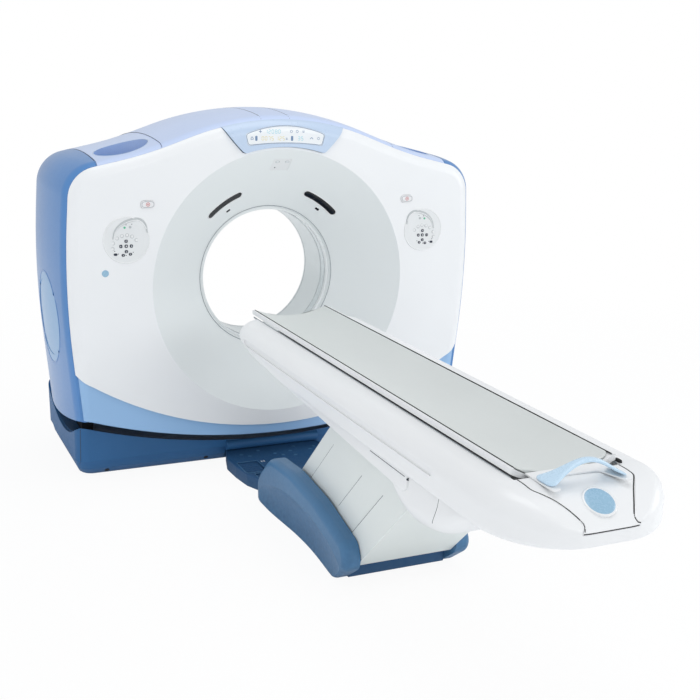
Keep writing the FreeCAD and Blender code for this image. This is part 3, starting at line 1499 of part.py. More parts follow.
def hollow_strip(half, top_edge, thick_middle, thick_edge, radius, y0, y1):
    """A strip with an arc on top and a flatter arc under it."""
    left, mid, right = hollow_arc(half, top_edge, radius, y0)
    low_left = left - vector(0, 0, thick_edge)
    low_mid = mid - vector(0, 0, thick_middle)
    low_right = right - vector(0, 0, thick_edge)
    wire = Part.Wire([
        Part.Arc(left, mid, right).toShape(),
        Part.LineSegment(right, low_right).toShape(),
        Part.Arc(low_right, low_mid, low_left).toShape(),
        Part.LineSegment(low_left, left).toShape(),
    ])
    return Part.Face(wire).extrude(vector(0, y1 - y0, 0))


pad_thick_edge = 9
pad_foot = cradle_foot + 12
pad_shape = hollow_strip(pad_half, pad_edge, pad_thickness, pad_thick_edge, pad_radius, pad_foot, cradle_head)
feature("cradle_pad", pad_shape)
seat_edge = pad_edge - pad_thick_edge
seat_mid = pad_edge - (pad_radius - math.sqrt(pad_radius**2 - pad_half**2)) - pad_thickness
outer_low = seat_mid - 9
cradle_edge = size("cradle_edge")
lip_inner = pad_half + 4
lip_low = cradle_edge - 20
right_side = [
    vector(pad_half, 0, seat_edge),
    vector(lip_inner, 0, seat_edge),
    vector(lip_inner, 0, cradle_edge),
    vector(cradle_half, 0, cradle_edge),
    vector(cradle_half, 0, lip_low),
]
left_side = [vector(-p.x, p.y, p.z) for p in reversed(right_side)]
section = [
    Part.Arc(left_side[-1], vector(0, 0, seat_mid), right_side[0]).toShape(),
    *Part.makePolygon(right_side).Edges,
    Part.Arc(right_side[-1], vector(0, 0, outer_low), left_side[0]).toShape(),
    *Part.makePolygon(left_side).Edges,
]
cradle = Part.Face(Part.Wire(section)).extrude(vector(0, cradle_head - cradle_foot, 0))
cradle.translate(vector(0, cradle_foot, 0))
runner_top = seat_mid + 12
runner_bottom = rail_top + size("rail_gap")
for x in (-rail_x, rail_x):
    cradle = cradle.fuse(slab(x - 12, x + 12, cradle_foot, cradle_foot + 700, runner_bottom, runner_top - 4))
feature("cradle", cradle)

handle_half = size("handle_half_width")
handle_top = size("handle_top")
handle_foot = size("handle_foot")
handle_head = -3012.0
foot_z = body_top + 1.5
arch_foot = foot_z + 5
band = 15
arch_inner_half = handle_half - 40
outer_left, outer_right = [vector(x, 0, arch_foot) for x in (-handle_half, handle_half)]
inner_left, inner_right = [vector(x, 0, arch_foot) for x in (-arch_inner_half, arch_inner_half)]
arch = Part.Face(Part.Wire([
    Part.Arc(outer_left, vector(0, 0, handle_top), outer_right).toShape(),
    Part.LineSegment(outer_right, inner_right).toShape(),
    Part.Arc(inner_right, vector(0, 0, handle_top - band), inner_left).toShape(),
    Part.LineSegment(inner_left, outer_left).toShape(),
])).extrude(vector(0, handle_head - handle_foot, 0))
arch.translate(vector(0, handle_foot, 0))
waist = prism(both_sides([
    (10, -3108, 0),
    (84, -3110, 60),
    (handle_half - 22, handle_foot, 8),
    (handle_half + 5, handle_foot, 4),
    (handle_half + 5, handle_head, 4),
    (arch_inner_half, -3060, 60),
    (60, -3082, 60),
    (10, -3084, 0),
]), "XY", 800, 1000)
handle = arch.common(waist)
strap = prism(both_sides([
    (10, -3040, 0),
    (handle_half - 58, -3044, 20),
    (handle_half - 26, handle_foot, 6),
    (handle_half, handle_foot, 6),
    (handle_half, cradle_foot, 0),
]), "XY", foot_z, arch_foot)
feature("cradle_handle", handle)
feature("cradle_bracket", strap)

# checks and export

doc.recompute()
for thing in doc.Objects:
    if any(state in ("Invalid", "Error") for state in thing.State):
        raise RuntimeError(f"{thing.Name} failed: {thing.State}")
for thing in pieces:
    shape = thing.Shape
    if shape.isNull() or not shape.isValid() or not shape.Solids:
        raise RuntimeError(f"{thing.Label} has no valid solid")

os.makedirs("parts", exist_ok=True)
for thing in pieces:
    thing.Shape.exportStep(os.path.join("parts", f"{thing.Label}.step"))
    print(thing.Label, len(thing.Shape.Solids), round(thing.Shape.Volume / 1e6, 2))
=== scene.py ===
import math

import bmesh
import bpy
import numpy as np
from mathutils import Matrix, Vector


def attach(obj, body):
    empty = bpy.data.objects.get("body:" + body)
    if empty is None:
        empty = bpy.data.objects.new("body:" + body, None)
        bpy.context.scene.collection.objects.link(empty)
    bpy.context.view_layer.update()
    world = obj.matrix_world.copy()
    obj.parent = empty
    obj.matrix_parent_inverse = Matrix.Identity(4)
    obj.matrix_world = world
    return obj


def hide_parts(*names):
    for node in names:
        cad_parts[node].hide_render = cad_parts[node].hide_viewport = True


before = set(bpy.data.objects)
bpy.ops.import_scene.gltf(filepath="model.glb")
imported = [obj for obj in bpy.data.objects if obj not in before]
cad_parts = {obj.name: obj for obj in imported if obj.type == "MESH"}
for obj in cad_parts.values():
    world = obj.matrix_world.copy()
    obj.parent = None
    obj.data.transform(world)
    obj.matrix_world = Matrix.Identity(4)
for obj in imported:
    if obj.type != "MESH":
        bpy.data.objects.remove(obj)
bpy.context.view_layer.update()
print("frame loaded")

# The scanner stands on the floor with its bore along Y. Places below are in millimetres.

cameraLook = {
    "place": (-2.057, -5.714, 2.089),  # metres
    "turn": 25.2,  # degrees to the right of straight at the gantry
    "tilt": 14.5,  # degrees below level
    "roll": 1.9,
    "lens": 56.83,
}


def makeCamera(look):
    turn, tilt, roll = (math.radians(look[key]) for key in ("turn", "tilt", "roll"))
    ahead = Vector((math.sin(turn) * math.cos(tilt), math.cos(turn) * math.cos(tilt), -math.sin(tilt)))
    right = Vector((math.cos(turn), -math.sin(turn), 0))
    up = right.cross(ahead)
    rolledRight = right * math.cos(roll) + up * math.sin(roll)
    rolledUp = up * math.cos(roll) - right * math.sin(roll)
    camera = bpy.data.objects.new("camera", bpy.data.cameras.new("camera"))
    camera.data.lens = look["lens"]
    camera.data.sensor_width = 36
    camera.data.clip_end = 200
    turnMatrix = Matrix((rolledRight, rolledUp, -ahead)).transposed().to_4x4()
    camera.matrix_world = Matrix.Translation(look["place"]) @ turnMatrix
    bpy.context.scene.collection.objects.link(camera)
    bpy.context.scene.camera = camera


lightLook = {
    "floor": (0.95, 0.955, 0.96),
    "floorBounce": (0.84, 0.85, 0.86),  # what the scanner's underside is lit by
    "floorFill": 0.16,  # light the floor gives off by itself, from below
    "floorGlow": 0.93,
    "floorShine": (0.8, 0.1),  # roughness and specular level
    "floorHalf": 30,  # metres
    "floorCentre": 1.2,  # the fade is centred this far in front of the bore
    "floorReach": (3.2, 6.5),  # opaque up to here, gone from here on, for the camera
    "sky": 0.66,
    "skyColor": (0.95, 0.97, 1),
    "lamps": {
        # name: place, aimed at, size in metres, power in watts, seen in reflections
        "overhead": ((0.6, -1.9, 8.6), (0.0, -0.8, 0.6), 6.0, 165, True),
        "front": ((3.0, -8.4, 3.6), (0.0, -0.8, 0.8), 5.0, 84, True),
        "left": ((-5.6, -2.2, 2.8), (0.0, -0.4, 0.9), 3.2, 16, True),
        "low": ((-5.0, -4.4, 0.8), (0.0, -0.9, 0.5), 3.0, 30, False),
        "right": ((5.2, -3.8, 2.6), (0.2, -1.2, 0.8), 3.0, 50, True),
        "behind": ((1.5, 5.5, 3.4), (0.0, 0.0, 1.0), 3.0, 60, False),
    },
}


# an input takes a value, or a link from another node's output
def fill(tree, socket, value):
    if isinstance(value, bpy.types.NodeSocket):
        tree.links.new(value, socket)
    else:
        socket.default_value = value


# a new shader node with its inputs filled, by name
def addNode(tree, kind, **values):
    node = tree.nodes.new("ShaderNode" + kind)
    for name, value in values.items():
        fill(tree, node.inputs[name.replace("_", " ")], value)
    return node


# the output of a math node
def mathNode(tree, operation, *sources, clamp=False):
    node = tree.nodes.new("ShaderNodeMath")
    node.operation = operation
    node.use_clamp = clamp
    for place, source in enumerate(sources):
        fill(tree, node.inputs[place], source)
    return node.outputs[0]


# two shaders mixed by a factor
def mixShaders(tree, factor, first, second):
    mix = tree.nodes.new("ShaderNodeMixShader")
    for place, source in enumerate((factor, first, second)):
        fill(tree, mix.inputs[place], source)
    return mix.outputs[0]


def makeWorld(look):
    world = bpy.data.worlds.new("studio")
    bpy.context.scene.world = world
    world.use_nodes = True
    tree = world.node_tree
    tree.nodes.clear()
    seen = addNode(tree, "Background", Color=(1, 1, 1, 1), Strength=1.0).outputs[0]
    filling = addNode(tree, "Background", Color=(*look["skyColor"], 1), Strength=look["sky"]).outputs[0]
    rays = addNode(tree, "LightPath").outputs
    either = mathNode(tree, "MAXIMUM", rays["Is Camera Ray"], rays["Is Transmission Ray"])
    addNode(tree, "OutputWorld", Surface=mixShaders(tree, either, filling, seen))


def makeLamps(lamps):
    for name, (place, target, size, watts, mirrored) in lamps.items():
        lamp = bpy.data.lights.new(name, "AREA")
        lamp.shape = "DISK"
        lamp.size = size
        lamp.energy = watts
        holder = bpy.data.objects.new(name, lamp)
        holder.location = place
        holder.visible_glossy = mirrored
        aim = Vector(target) - Vector(place)
        holder.rotation_euler = aim.to_track_quat("-Z", "Y").to_euler()
        bpy.context.scene.collection.objects.link(holder)


# The camera sees paper white that keeps only the soft shadow and fades out far away.
# All other rays see a matt floor that gives off a little light from below.
def makeFloor(look):
    half = look["floorHalf"]
    mesh = bpy.data.meshes.new("floor")
    mesh.from_pydata([(-half, -half, 0), (half, -half, 0), (half, half, 0), (-half, half, 0)], [], [(0, 1, 2, 3)])
    floor = bpy.data.objects.new("floor", mesh)
    bpy.context.scene.collection.objects.link(floor)
    material = bpy.data.materials.new("floorPaint")
    material.use_nodes = True
    tree = material.node_tree
    shader = tree.nodes["Principled BSDF"]
    shader.inputs["Base Color"].default_value = (*look["floor"], 1)
    for socket, value in zip(("Roughness", "Specular IOR Level"), look["floorShine"]):
        shader.inputs[socket].default_value = value
    white = addNode(tree, "Emission", Strength=1.0).outputs[0]
    seen = mixShaders(tree, look["floorGlow"], shader.outputs[0], white)
    place = addNode(tree, "TexCoord").outputs["Object"]
    centred = addNode(tree, "Mapping", Vector=place, Location=(0, look["floorCentre"], 0))
    distance = tree.nodes.new("ShaderNodeVectorMath")
    distance.operation = "LENGTH"
    tree.links.new(centred.outputs["Vector"], distance.inputs[0])
    near, far = look["floorReach"]
    fade = addNode(tree, "MapRange", Value=distance.outputs["Value"], From_Min=near, From_Max=far)
    fade.interpolation_type = "SMOOTHSTEP"
    clear = addNode(tree, "BsdfTransparent").outputs[0]
    fading = mixShaders(tree, fade.outputs["Result"], seen, clear)
    bounce = tree.nodes.new("ShaderNodeAddShader")
    matt = addNode(tree, "BsdfDiffuse", Color=(*look["floorBounce"], 1))
    glow = addNode(tree, "Emission", Strength=look["floorFill"])
    tree.links.new(matt.outputs[0], bounce.inputs[0])
    tree.links.new(glow.outputs[0], bounce.inputs[1])
    forCamera = addNode(tree, "LightPath").outputs["Is Camera Ray"]
    surface = mixShaders(tree, forCamera, bounce.outputs[0], fading)
    tree.links.new(surface, tree.nodes["Material Output"].inputs["Surface"])
    mesh.materials.append(material)


def makeStudio(look):
    bpy.context.scene.view_settings.view_transform = "Standard"
    makeWorld(look)
    makeLamps(look["lamps"])
    makeFloor(look)


makeCamera(cameraLook)
makeStudio(lightLook)
print("camera, lamps and floor made")


# a node group with its input and output sockets, and object coordinates inside it
def newGroup(name, given, results):
    group = bpy.data.node_groups.new(name, "ShaderNodeTree")
    for label, start in given.items():
        group.interface.new_socket(label, in_out="INPUT", socket_type="NodeSocketFloat").default_value = start
    for label in results:
        group.interface.new_socket(label, in_out="OUTPUT", socket_type="NodeSocketFloat")
    inside, outside = group.nodes.new("NodeGroupInput"), group.nodes.new("NodeGroupOutput")
    return group, inside.outputs, outside.inputs, addNode(group, "TexCoord").outputs["Object"]


# slow cloudiness, fine grain and scuffs, from noise on object coordinates
def makeMottleGroup():
    scales = {"Cloud Scale": 2.0, "Grain Scale": 400.0}
    group, given, results, place = newGroup("mottle", scales, ("Cloud", "Grain", "Scuff"))
    noises = {
        "Cloud": {"Scale": given["Cloud Scale"], "Detail": 4},
        "Grain": {"Scale": given["Grain Scale"], "Detail": 2},
        "Scuff": {"Scale": 60, "Detail": 6, "Distortion": 1.5},
    }
    for name, values in noises.items():
        noise = addNode(group, "TexNoise", Vector=place, **values)
        group.links.new(noise.outputs["Fac"], results[name])
    return group


# a mask that is 1 inside a round column along one axis and 0 outside it, with a soft edge
def makeColumnGroup(name, keep, onBothSides=False):
    start = {"Centre A": 0.0, "Centre B": 0.0, "Radius": 0.5, "Edge": 0.002, "Stretch": 1.0}
    group, given, results, place = newGroup(name, start, ("Mask",))
    split = addNode(group, "SeparateXYZ", Vector=place)
    squares = []
    for axis, centre in zip(keep, ("Centre A", "Centre B")):
        source = split.outputs[axis]
        if onBothSides and axis == "X":
            source = mathNode(group, "ABSOLUTE", source)
        offset = mathNode(group, "SUBTRACT", source, given[centre])
        if centre == "Centre B":
            offset = mathNode(group, "DIVIDE", offset, given["Stretch"])
        squares.append(mathNode(group, "MULTIPLY", offset, offset))
    distance = mathNode(group, "SQRT", mathNode(group, "ADD", *squares))
    inside = mathNode(group, "SUBTRACT", given["Radius"], distance)
    group.links.new(mathNode(group, "DIVIDE", inside, given["Edge"], clamp=True), results["Mask"])
    return group


# darker or paler towards the floor: a height ramp broken up by noise; it lays real dust, and painted shade low on
# the shoes
def makeDustAndShadeGroup():
    group, given, results, place = newGroup("floorDustAndShade", {"Height": 0.12, "Amount": 0.5}, ("Mask",))
    height = addNode(group, "SeparateXYZ", Vector=place).outputs["Z"]
    ramp = addNode(group, "MapRange", Value=height, From_Min=0.0, From_Max=given["Height"], To_Min=1.0, To_Max=0.0)
    speckle = addNode(group, "TexNoise", Vector=place, Scale=45, Detail=5)
    broken = mathNode(group, "MULTIPLY", ramp.outputs["Result"], speckle.outputs["Fac"])
    group.links.new(mathNode(group, "MULTIPLY", broken, given["Amount"], clamp=True), results["Mask"])
    return group


mottle = makeMottleGroup()
boreColumn = makeColumnGroup("boreColumn", "XZ")
dishColumn = makeColumnGroup("dishColumn", "XY", onBothSides=True)
ovalColumn = makeColumnGroup("ovalColumn", "YZ")
floorDustAndShade = makeDustAndShadeGroup()


# grain: how fine it is, and its height in metres
smooth = (300, 0.00001)
moulded = (260, 0.00008)


def addGroup(tree, group, **values):
    node = tree.nodes.new("ShaderNodeGroup")
    node.node_tree = group
    for name, value in values.items():
        fill(tree, node.inputs[name.replace("_", " ")], value)
    return node.outputs


def mixColors(tree, factor, first, second):
    mix = tree.nodes.new("ShaderNodeMix")
    mix.data_type = "RGBA"
    for socket, source in (("Factor", factor), ("A", first), ("B", second)):
        fill(tree, mix.inputs[socket], (*source, 1) if isinstance(source, tuple) else source)
    return mix.outputs["Result"]


# most of a noise's values, from 0.3 to 0.7, spread over another range
def rangeOf(tree, noise, low, high):
    spread = addNode(tree, "MapRange", Value=noise, From_Min=0.3, From_Max=0.7, To_Min=low, To_Max=high)
    return spread.outputs["Result"]


# a finish: two close colours mixed by slow clouds, roughness by scuffs, grain as bump
def finish(name, light, share, rough, coat=0.0, tint=None, grain=smooth, shine=0.5, metal=0.0):
    material = bpy.data.materials.new(name)
    material.use_nodes = True
    tree = material.node_tree
    shader = tree.nodes["Principled BSDF"]
    texture = addGroup(tree, mottle, Cloud_Scale=2.0, Grain_Scale=grain[0])
    dark = tuple(channel * share for channel in light)
    color = mixColors(tree, rangeOf(tree, texture["Cloud"], 0.0, 1.0), dark, light)
    if tint:
        mask = addGroup(tree, tint["group"], **tint["values"])["Mask"]
        color = mixColors(tree, mask, color, tint["color"])
    bump = addNode(tree, "Bump", Height=texture["Grain"], Distance=grain[1], Strength=0.5)
    values = {
        "Base Color": color,
        "Roughness": rangeOf(tree, texture["Scuff"], *rough),
        "Normal": bump.outputs["Normal"],
        "Metallic": metal,
        "Coat Weight": coat,
        "Coat Roughness": 0.15,
        "Specular IOR Level": shine,
    }
    for socket, value in values.items():
        fill(tree, shader.inputs[socket], value)
    return material


# second colours and where they show, in metres: painted shade on the cone, in the dishes and low on the shoes, a
# lighter blue in the side ovals, and real dust near the floor
# painted shade: the front cone round the bore, and the white cover inside that column, greyed as if in shade
conePaintedShade = {
    "group": boreColumn,
    "color": (0.80, 0.835, 0.835),
    "values": {"Centre_A": 0.0, "Centre_B": 0.986, "Radius": 0.681, "Edge": 0.003},
}
# painted shade: the shoulder dishes darkened as if their hollows were in shade
dishPaintedShade = {
    "group": dishColumn,
    "color": (0.24, 0.38, 0.66),
    "values": {"Centre_A": 0.778, "Centre_B": -0.3, "Radius": 0.1305, "Edge": 0.001},
}
ovalTint = {
    "group": ovalColumn,
    "color": (0.20, 0.40, 0.66),
    "values": {"Centre_A": -0.17, "Centre_B": 0.812, "Radius": 0.190, "Stretch": 1.21, "Edge": 0.004},
}
# painted shade: the shoes darker towards the floor, as if shaded there
shoePaintedShade = {"group": floorDustAndShade, "color": (0.022, 0.070, 0.150), "values": {"Height": 0.30, "Amount": 0.85}}
dustTint = {"group": floorDustAndShade, "color": (0.16, 0.22, 0.28), "values": {"Height": 0.07, "Amount": 0.35}}

paint = {
    # name: light colour, share of it left in the darker clouds, lowest and highest roughness, and where they
    # differ from finish's own: coat, tint, grain, specular level and metal
    "whiteCover": ((0.86, 0.875, 0.885), 0.98, (0.30, 0.38), 0.2, conePaintedShade),
    "whiteTable": ((0.87, 0.88, 0.885), 0.98, (0.30, 0.38), 0.2),
    "whiteTrim": ((0.86, 0.87, 0.875), 0.98, (0.22, 0.30), 0.4),
    "apronBlue": ((0.30, 0.51, 0.79), 0.95, (0.28, 0.38), 0.3),
    "sideBlue": ((0.080, 0.245, 0.56), 0.93, (0.30, 0.36), 0.3, ovalTint),
    "lidBlue": ((0.58, 0.69, 0.93), 0.95, (0.30, 0.40), 0.2, dishPaintedShade),
    "displayBlue": ((0.53, 0.65, 0.82), 0.96, (0.26, 0.34), 0.3),
    "baseBlue": ((0.036, 0.138, 0.320), 0.88, (0.40, 0.54), 0, dustTint, moulded, 0.25),
    "footBlue": ((0.028, 0.100, 0.230), 0.86, (0.42, 0.56), 0, dustTint, moulded, 0.25),
    "shoeBlue": ((0.080, 0.215, 0.400), 0.90, (0.34, 0.46), 0.05, shoePaintedShade, moulded, 0.35),
    "legGrey": ((0.80, 0.84, 0.82), 0.97, (0.36, 0.46), 0.1),
    "panelWhite": ((0.78, 0.80, 0.805), 0.98, (0.28, 0.36), 0.3),
    "displayWhite": ((0.84, 0.87, 0.89), 0.98, (0.10, 0.18), 0.5),
    "buttonWhite": ((0.83, 0.83, 0.84), 0.98, (0.25, 0.32), 0.4),
    "windowFilm": ((0.70, 0.76, 0.77), 0.95, (0.12, 0.22), 0.5),
    # painted shade: the hidden frames are near black so that the gaps between the covers read as shade
    "framePaintedShade": ((0.030, 0.033, 0.037), 0.85, (0.50, 0.65), 0, None, moulded, 0.2),
    "machinedSteel": ((0.52, 0.53, 0.54), 0.85, (0.25, 0.42), 0, None, (500, 0.00012), 0.5, 1),
    "castAluminium": ((0.60, 0.61, 0.63), 0.88, (0.34, 0.50), 0, None, (300, 0.00025), 0.5, 1),
    "housingGrey": ((0.50, 0.50, 0.50), 0.90, (0.40, 0.55), 0.1, None, moulded),
    "darkHousing": ((0.06, 0.065, 0.07), 0.85, (0.40, 0.55), 0.1, None, moulded),
    "smokedGlass": ((0.006, 0.007, 0.010), 0.80, (0.12, 0.20), 0.2),
    "beltRubber": ((0.012, 0.012, 0.013), 0.80, (0.60, 0.75), 0, None, moulded),
    "seamShadow": ((0.035, 0.045, 0.065), 0.85, (0.55, 0.70)),
    "softSeam": ((0.34, 0.37, 0.40), 0.92, (0.50, 0.62)),
    "cradleShell": ((0.87, 0.88, 0.885), 0.97, (0.30, 0.40), 0.2),
    "padVinyl": ((0.68, 0.71, 0.695), 0.97, (0.46, 0.58), 0.05, None, (700, 0.00015)),
    "handleBlue": ((0.57, 0.76, 0.92), 0.96, (0.24, 0.32), 0.4),
    "badgeBlue": ((0.30, 0.50, 0.66), 0.97, (0.22, 0.32), 0.5),
    "keyNavy": ((0.020, 0.028, 0.050), 0.85, (0.35, 0.45), 0.2),
    "keyGrey": ((0.50, 0.53, 0.54), 0.94, (0.35, 0.45), 0.2),
    "keyGreen": ((0.10, 0.52, 0.30), 0.90, (0.25, 0.35), 0.4),
    "stopRed": ((0.62, 0.22, 0.22), 0.92, (0.35, 0.45), 0.2),
    "markWhite": ((0.86, 0.88, 0.90), 0.97, (0.40, 0.50)),
    "markBlue": ((0.16, 0.26, 0.42), 0.92, (0.40, 0.50)),
    "digitCyan": ((0.36, 0.68, 0.76), 0.96, (0.20, 0.28), 0.3),
    "digitAmber": ((0.78, 0.70, 0.38), 0.96, (0.20, 0.28), 0.3),
}
finishes = {name: finish(name, *values) for name, values in paint.items()}

nodeFinish = {
    "whiteCover": "front_cover rear_cover bore_liner_front bore_liner_rear",
    "apronBlue": "front_apron",
    "sideBlue": "side_shell_left side_shell_right",
    "lidBlue": "shoulder_lid_left shoulder_lid_right crown_lid",
    "displayBlue": "display_housing",
    "baseBlue": "base_cover",
    # painted shade: the end bar wears the darker foot control blue, for its place low under the table
    "footBlue": "foot_control end_bar pedal_raise_left pedal_raise_right pedal_lower_left pedal_lower_right",
    "shoeBlue": "shoe_left shoe_right",
    "legGrey": "leg_cover_first leg_cover_second leg_cover_third leg_cover_fourth",
    "panelWhite": "control_panel_left control_panel_right guide_light_panel",
    "displayWhite": "display_window",
    "buttonWhite": "stop_button_left stop_button_right",
    "windowFilm": "scan_window",
    "framePaintedShade": "tilting_frame floor_frame lift_arm_front lift_arm_rear table_base_frame table_frame",
    "machinedSteel": "bearing_outer_race bearing_inner_race tilt_sector tilt_pinion",
    "castAluminium": "rotor_drum motor_pulley cradle_rails",
    "housingGrey": "xray_tube collimator generator_tanks",
    "darkHousing": "detector slip_ring drive_motor",
    "smokedGlass": "laser_windows",
    "beltRubber": "drive_belt",
    "whiteTable": "table_body foot_panel belly_fairing",
    "cradleShell": "cradle cradle_bracket",
    "padVinyl": "cradle_pad",
    "handleBlue": "cradle_handle",
}
for name, nodes in nodeFinish.items():
    for node in nodes.split():
        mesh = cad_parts[node].data
        mesh.materials.clear()
        mesh.materials.append(finishes[name])
print("finishes on", len(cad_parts), "nodes")


# One mesh from one or more grids of points in millimetres. A grid's columns run round a closed loop;
# its rows run from a point to a point, or round a ring. Doubles are merged and faces turned outwards.
def addSurface(name, grids, paintName, body, ring=False):
    grids = np.asarray(grids, dtype=np.float64)
    if grids.ndim == 3:
        grids = grids[None]
    count, rows, columns = grids.shape[:3]
    number = np.arange(count * rows * columns).reshape(count, rows, columns)
    if ring:
        number = np.concatenate([number, number[:, :1]], axis=1)
    beside = np.roll(number, -1, axis=2)
    corners = [number[:, :-1], beside[:, :-1], beside[:, 1:], number[:, 1:]]
    faces = np.stack(corners, axis=-1).reshape(-1, 4).astype(np.int32)
    mesh = bpy.data.meshes.new(name)
    mesh.vertices.add(count * rows * columns)
    mesh.vertices.foreach_set("co", (grids * 0.001).astype(np.float32).ravel())
    mesh.loops.add(faces.size)
    mesh.loops.foreach_set("vertex_index", faces.ravel())
    mesh.polygons.add(len(faces))
    mesh.polygons.foreach_set("loop_start", np.arange(0, faces.size, 4, dtype=np.int32))
    mesh.update(calc_edges=True)
    shape = bmesh.new()
    shape.from_mesh(mesh)
    bmesh.ops.remove_doubles(shape, verts=shape.verts, dist=0.000002)
    bmesh.ops.dissolve_degenerate(shape, dist=0.000002, edges=shape.edges)
    bmesh.ops.recalc_face_normals(shape, faces=shape.faces)
    shape.to_mesh(mesh)
    shape.free()
    mesh.polygons.foreach_set("use_smooth", np.ones(len(mesh.polygons), dtype=bool))
    mesh.materials.append(finishes[paintName])
    piece = bpy.data.objects.new(name, mesh)
    bpy.context.scene.collection.objects.link(piece)
    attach(piece, body)
    return piece


rightAxis, frontAxis, backAxis, upAxis, downAxis = (1, 0, 0), (0, -1, 0), (0, 1, 0), (0, 0, 1), (0, 0, -1)

# feelers: the axis they move along, where they start, clear of the pieces that they look for, and their way
feelers = {
    "above": (2, 2100, downAxis),
    "ahead": (1, -900, backAxis),
    "left": (0, -1500, rightAxis),
    "aboveTable": (2, 1200, downAxis),
    "leftOfTable": (0, -700, rightAxis),
    "footEnd": (1, -3500, backAxis),
}


# even angles round a full turn
def turns(count):
    return np.linspace(0, 2 * np.pi, count, endpoint=False)


# points from three coordinates, each an array or one number
def spots(x, y, z):
    return np.stack(np.broadcast_arrays(x, y, z), axis=-1).astype(np.float64)


# both coordinates of an ellipse
def ellipse(centre, radii, count):
    turn = turns(count)
    return centre[0] + radii[0] * np.cos(turn), centre[1] + radii[1] * np.sin(turn)


# a superellipse's unit outline, |u|^(2/powerU) + |v|^(2/powerV) = 1
def roundedOutline(count, powerU, powerV):
    turn = turns(count)
    along, aside = np.cos(turn), np.sin(turn)
    return np.sign(along) * np.abs(along) ** powerU, np.sign(aside) * np.abs(aside) ** powerV


# Points on a CAD node, and its outward normals there: feelers start at the two given coordinates and move
# along the third until they meet the node.
def onSurface(node, feeler, first, second):
    axis, start, direction = feelers[feeler]
    coordinates = [first, second]
    coordinates.insert(axis, start)
    points = np.atleast_2d(spots(*coordinates))
    direction = np.array(direction, dtype=np.float64)
    across, upward = np.roll(direction, 1), np.roll(direction, 2)
    stack = np.concatenate([points, points + 2 * across, points + 2 * upward])
    mesh = bpy.data.meshes.new("feelers")
    mesh.from_pydata((stack * 0.001).tolist(), [], [])
    probe = bpy.data.objects.new("feelers", mesh)
    bpy.context.scene.collection.objects.link(probe)
    wrap = probe.modifiers.new("wrap", "SHRINKWRAP")
    wrap.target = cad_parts[node]
    wrap.wrap_method = "PROJECT"
    wrap.use_project_x, wrap.use_project_y, wrap.use_project_z = (axis == part for part in range(3))
    wrap.use_positive_direction = bool(direction.sum() > 0)
    wrap.use_negative_direction = bool(direction.sum() < 0)
    bpy.context.view_layer.update()
    moved = probe.evaluated_get(bpy.context.evaluated_depsgraph_get()).data
    places = np.empty(len(stack) * 3, dtype=np.float32)
    moved.vertices.foreach_get("co", places)
    bpy.data.objects.remove(probe)
    bpy.data.meshes.remove(mesh)
    here, beside, above = np.split(places.reshape(-1, 3).astype(np.float64) * 1000, 3)
    normal = np.cross(beside - here, above - here)
    normal /= np.linalg.norm(normal, axis=1, keepdims=True)
    normal *= -np.sign((normal * direction).sum(axis=1, keepdims=True))
    # a feeler that misses the node takes its height and normal from its neighbours
    met = np.abs(here - points)[:, axis] > 0.01
    if met.any() and not met.all():
        order = np.arange(len(points))
        here[:, axis] = np.interp(order, order[met], here[met, axis])
        normal = np.stack([np.interp(order, order[met], normal[met, part]) for part in range(3)], axis=-1)
        normal /= np.linalg.norm(normal, axis=1, keepdims=True)
    return here, normal


# a closed bead: half an ellipse of the given rise above the surface and a shallow half below it
def bead(width, rise, sink=0.4, count=12):
    turn = turns(count)
    height = np.where(np.sin(turn) > 0, rise, sink) * np.sin(turn)
    return np.stack([width / 2 * np.cos(turn), height], axis=-1)


# rows of one repeated point at both ends, so that the grid closes there
def closeEnds(grid, path):
    first, last = (np.repeat(path[part:][:1, None], grid.shape[1], axis=1) for part in (0, -1))
    return np.concatenate([first, grid, last])


# the loop carried along a path, across its normals, which may be one for all; open ends close to a point
def carryLoop(path, normals, loop, ring=False, scale=None):
    path = np.asarray(path, dtype=np.float64)
    normals = np.broadcast_to(np.asarray(normals, dtype=np.float64), path.shape)
    if ring:
        tangent = np.roll(path, -1, axis=0) - np.roll(path, 1, axis=0)
    else:
        tangent = np.gradient(path, axis=0)
    side = np.cross(tangent, normals)
    side /= np.linalg.norm(side, axis=1, keepdims=True)
    scale = np.ones(len(path)) if scale is None else scale
    widths = loop[None, :, 0:1] * scale[:, None, None]
    grid = path[:, None] + widths * side[:, None] + loop[None, :, 1:2] * normals[:, None]
    return grid if ring else closeEnds(grid, path)


# even steps along straight runs between corners, then rounded by averaging neighbours
def steps(corners, count, rounds=0, ring=False):
    corners = np.asarray(corners, dtype=np.float64)
    if ring:
        corners = np.concatenate([corners, corners[:1]])
    runs = np.linalg.norm(np.diff(corners, axis=0), axis=1)
    reached = np.concatenate([[0], np.cumsum(runs)])
    at = np.linspace(0, reached[-1], count, endpoint=not ring)
    path = np.stack([np.interp(at, reached, corners[:, axis]) for axis in range(corners.shape[1])], axis=-1)
    for _ in range(rounds):
        if ring:
            path = (np.roll(path, 1, axis=0) + 2 * path + np.roll(path, -1, axis=0)) / 4
        else:
            path[1:-1] = (path[:-2] + 2 * path[1:-1] + path[2:]) / 4
    return path


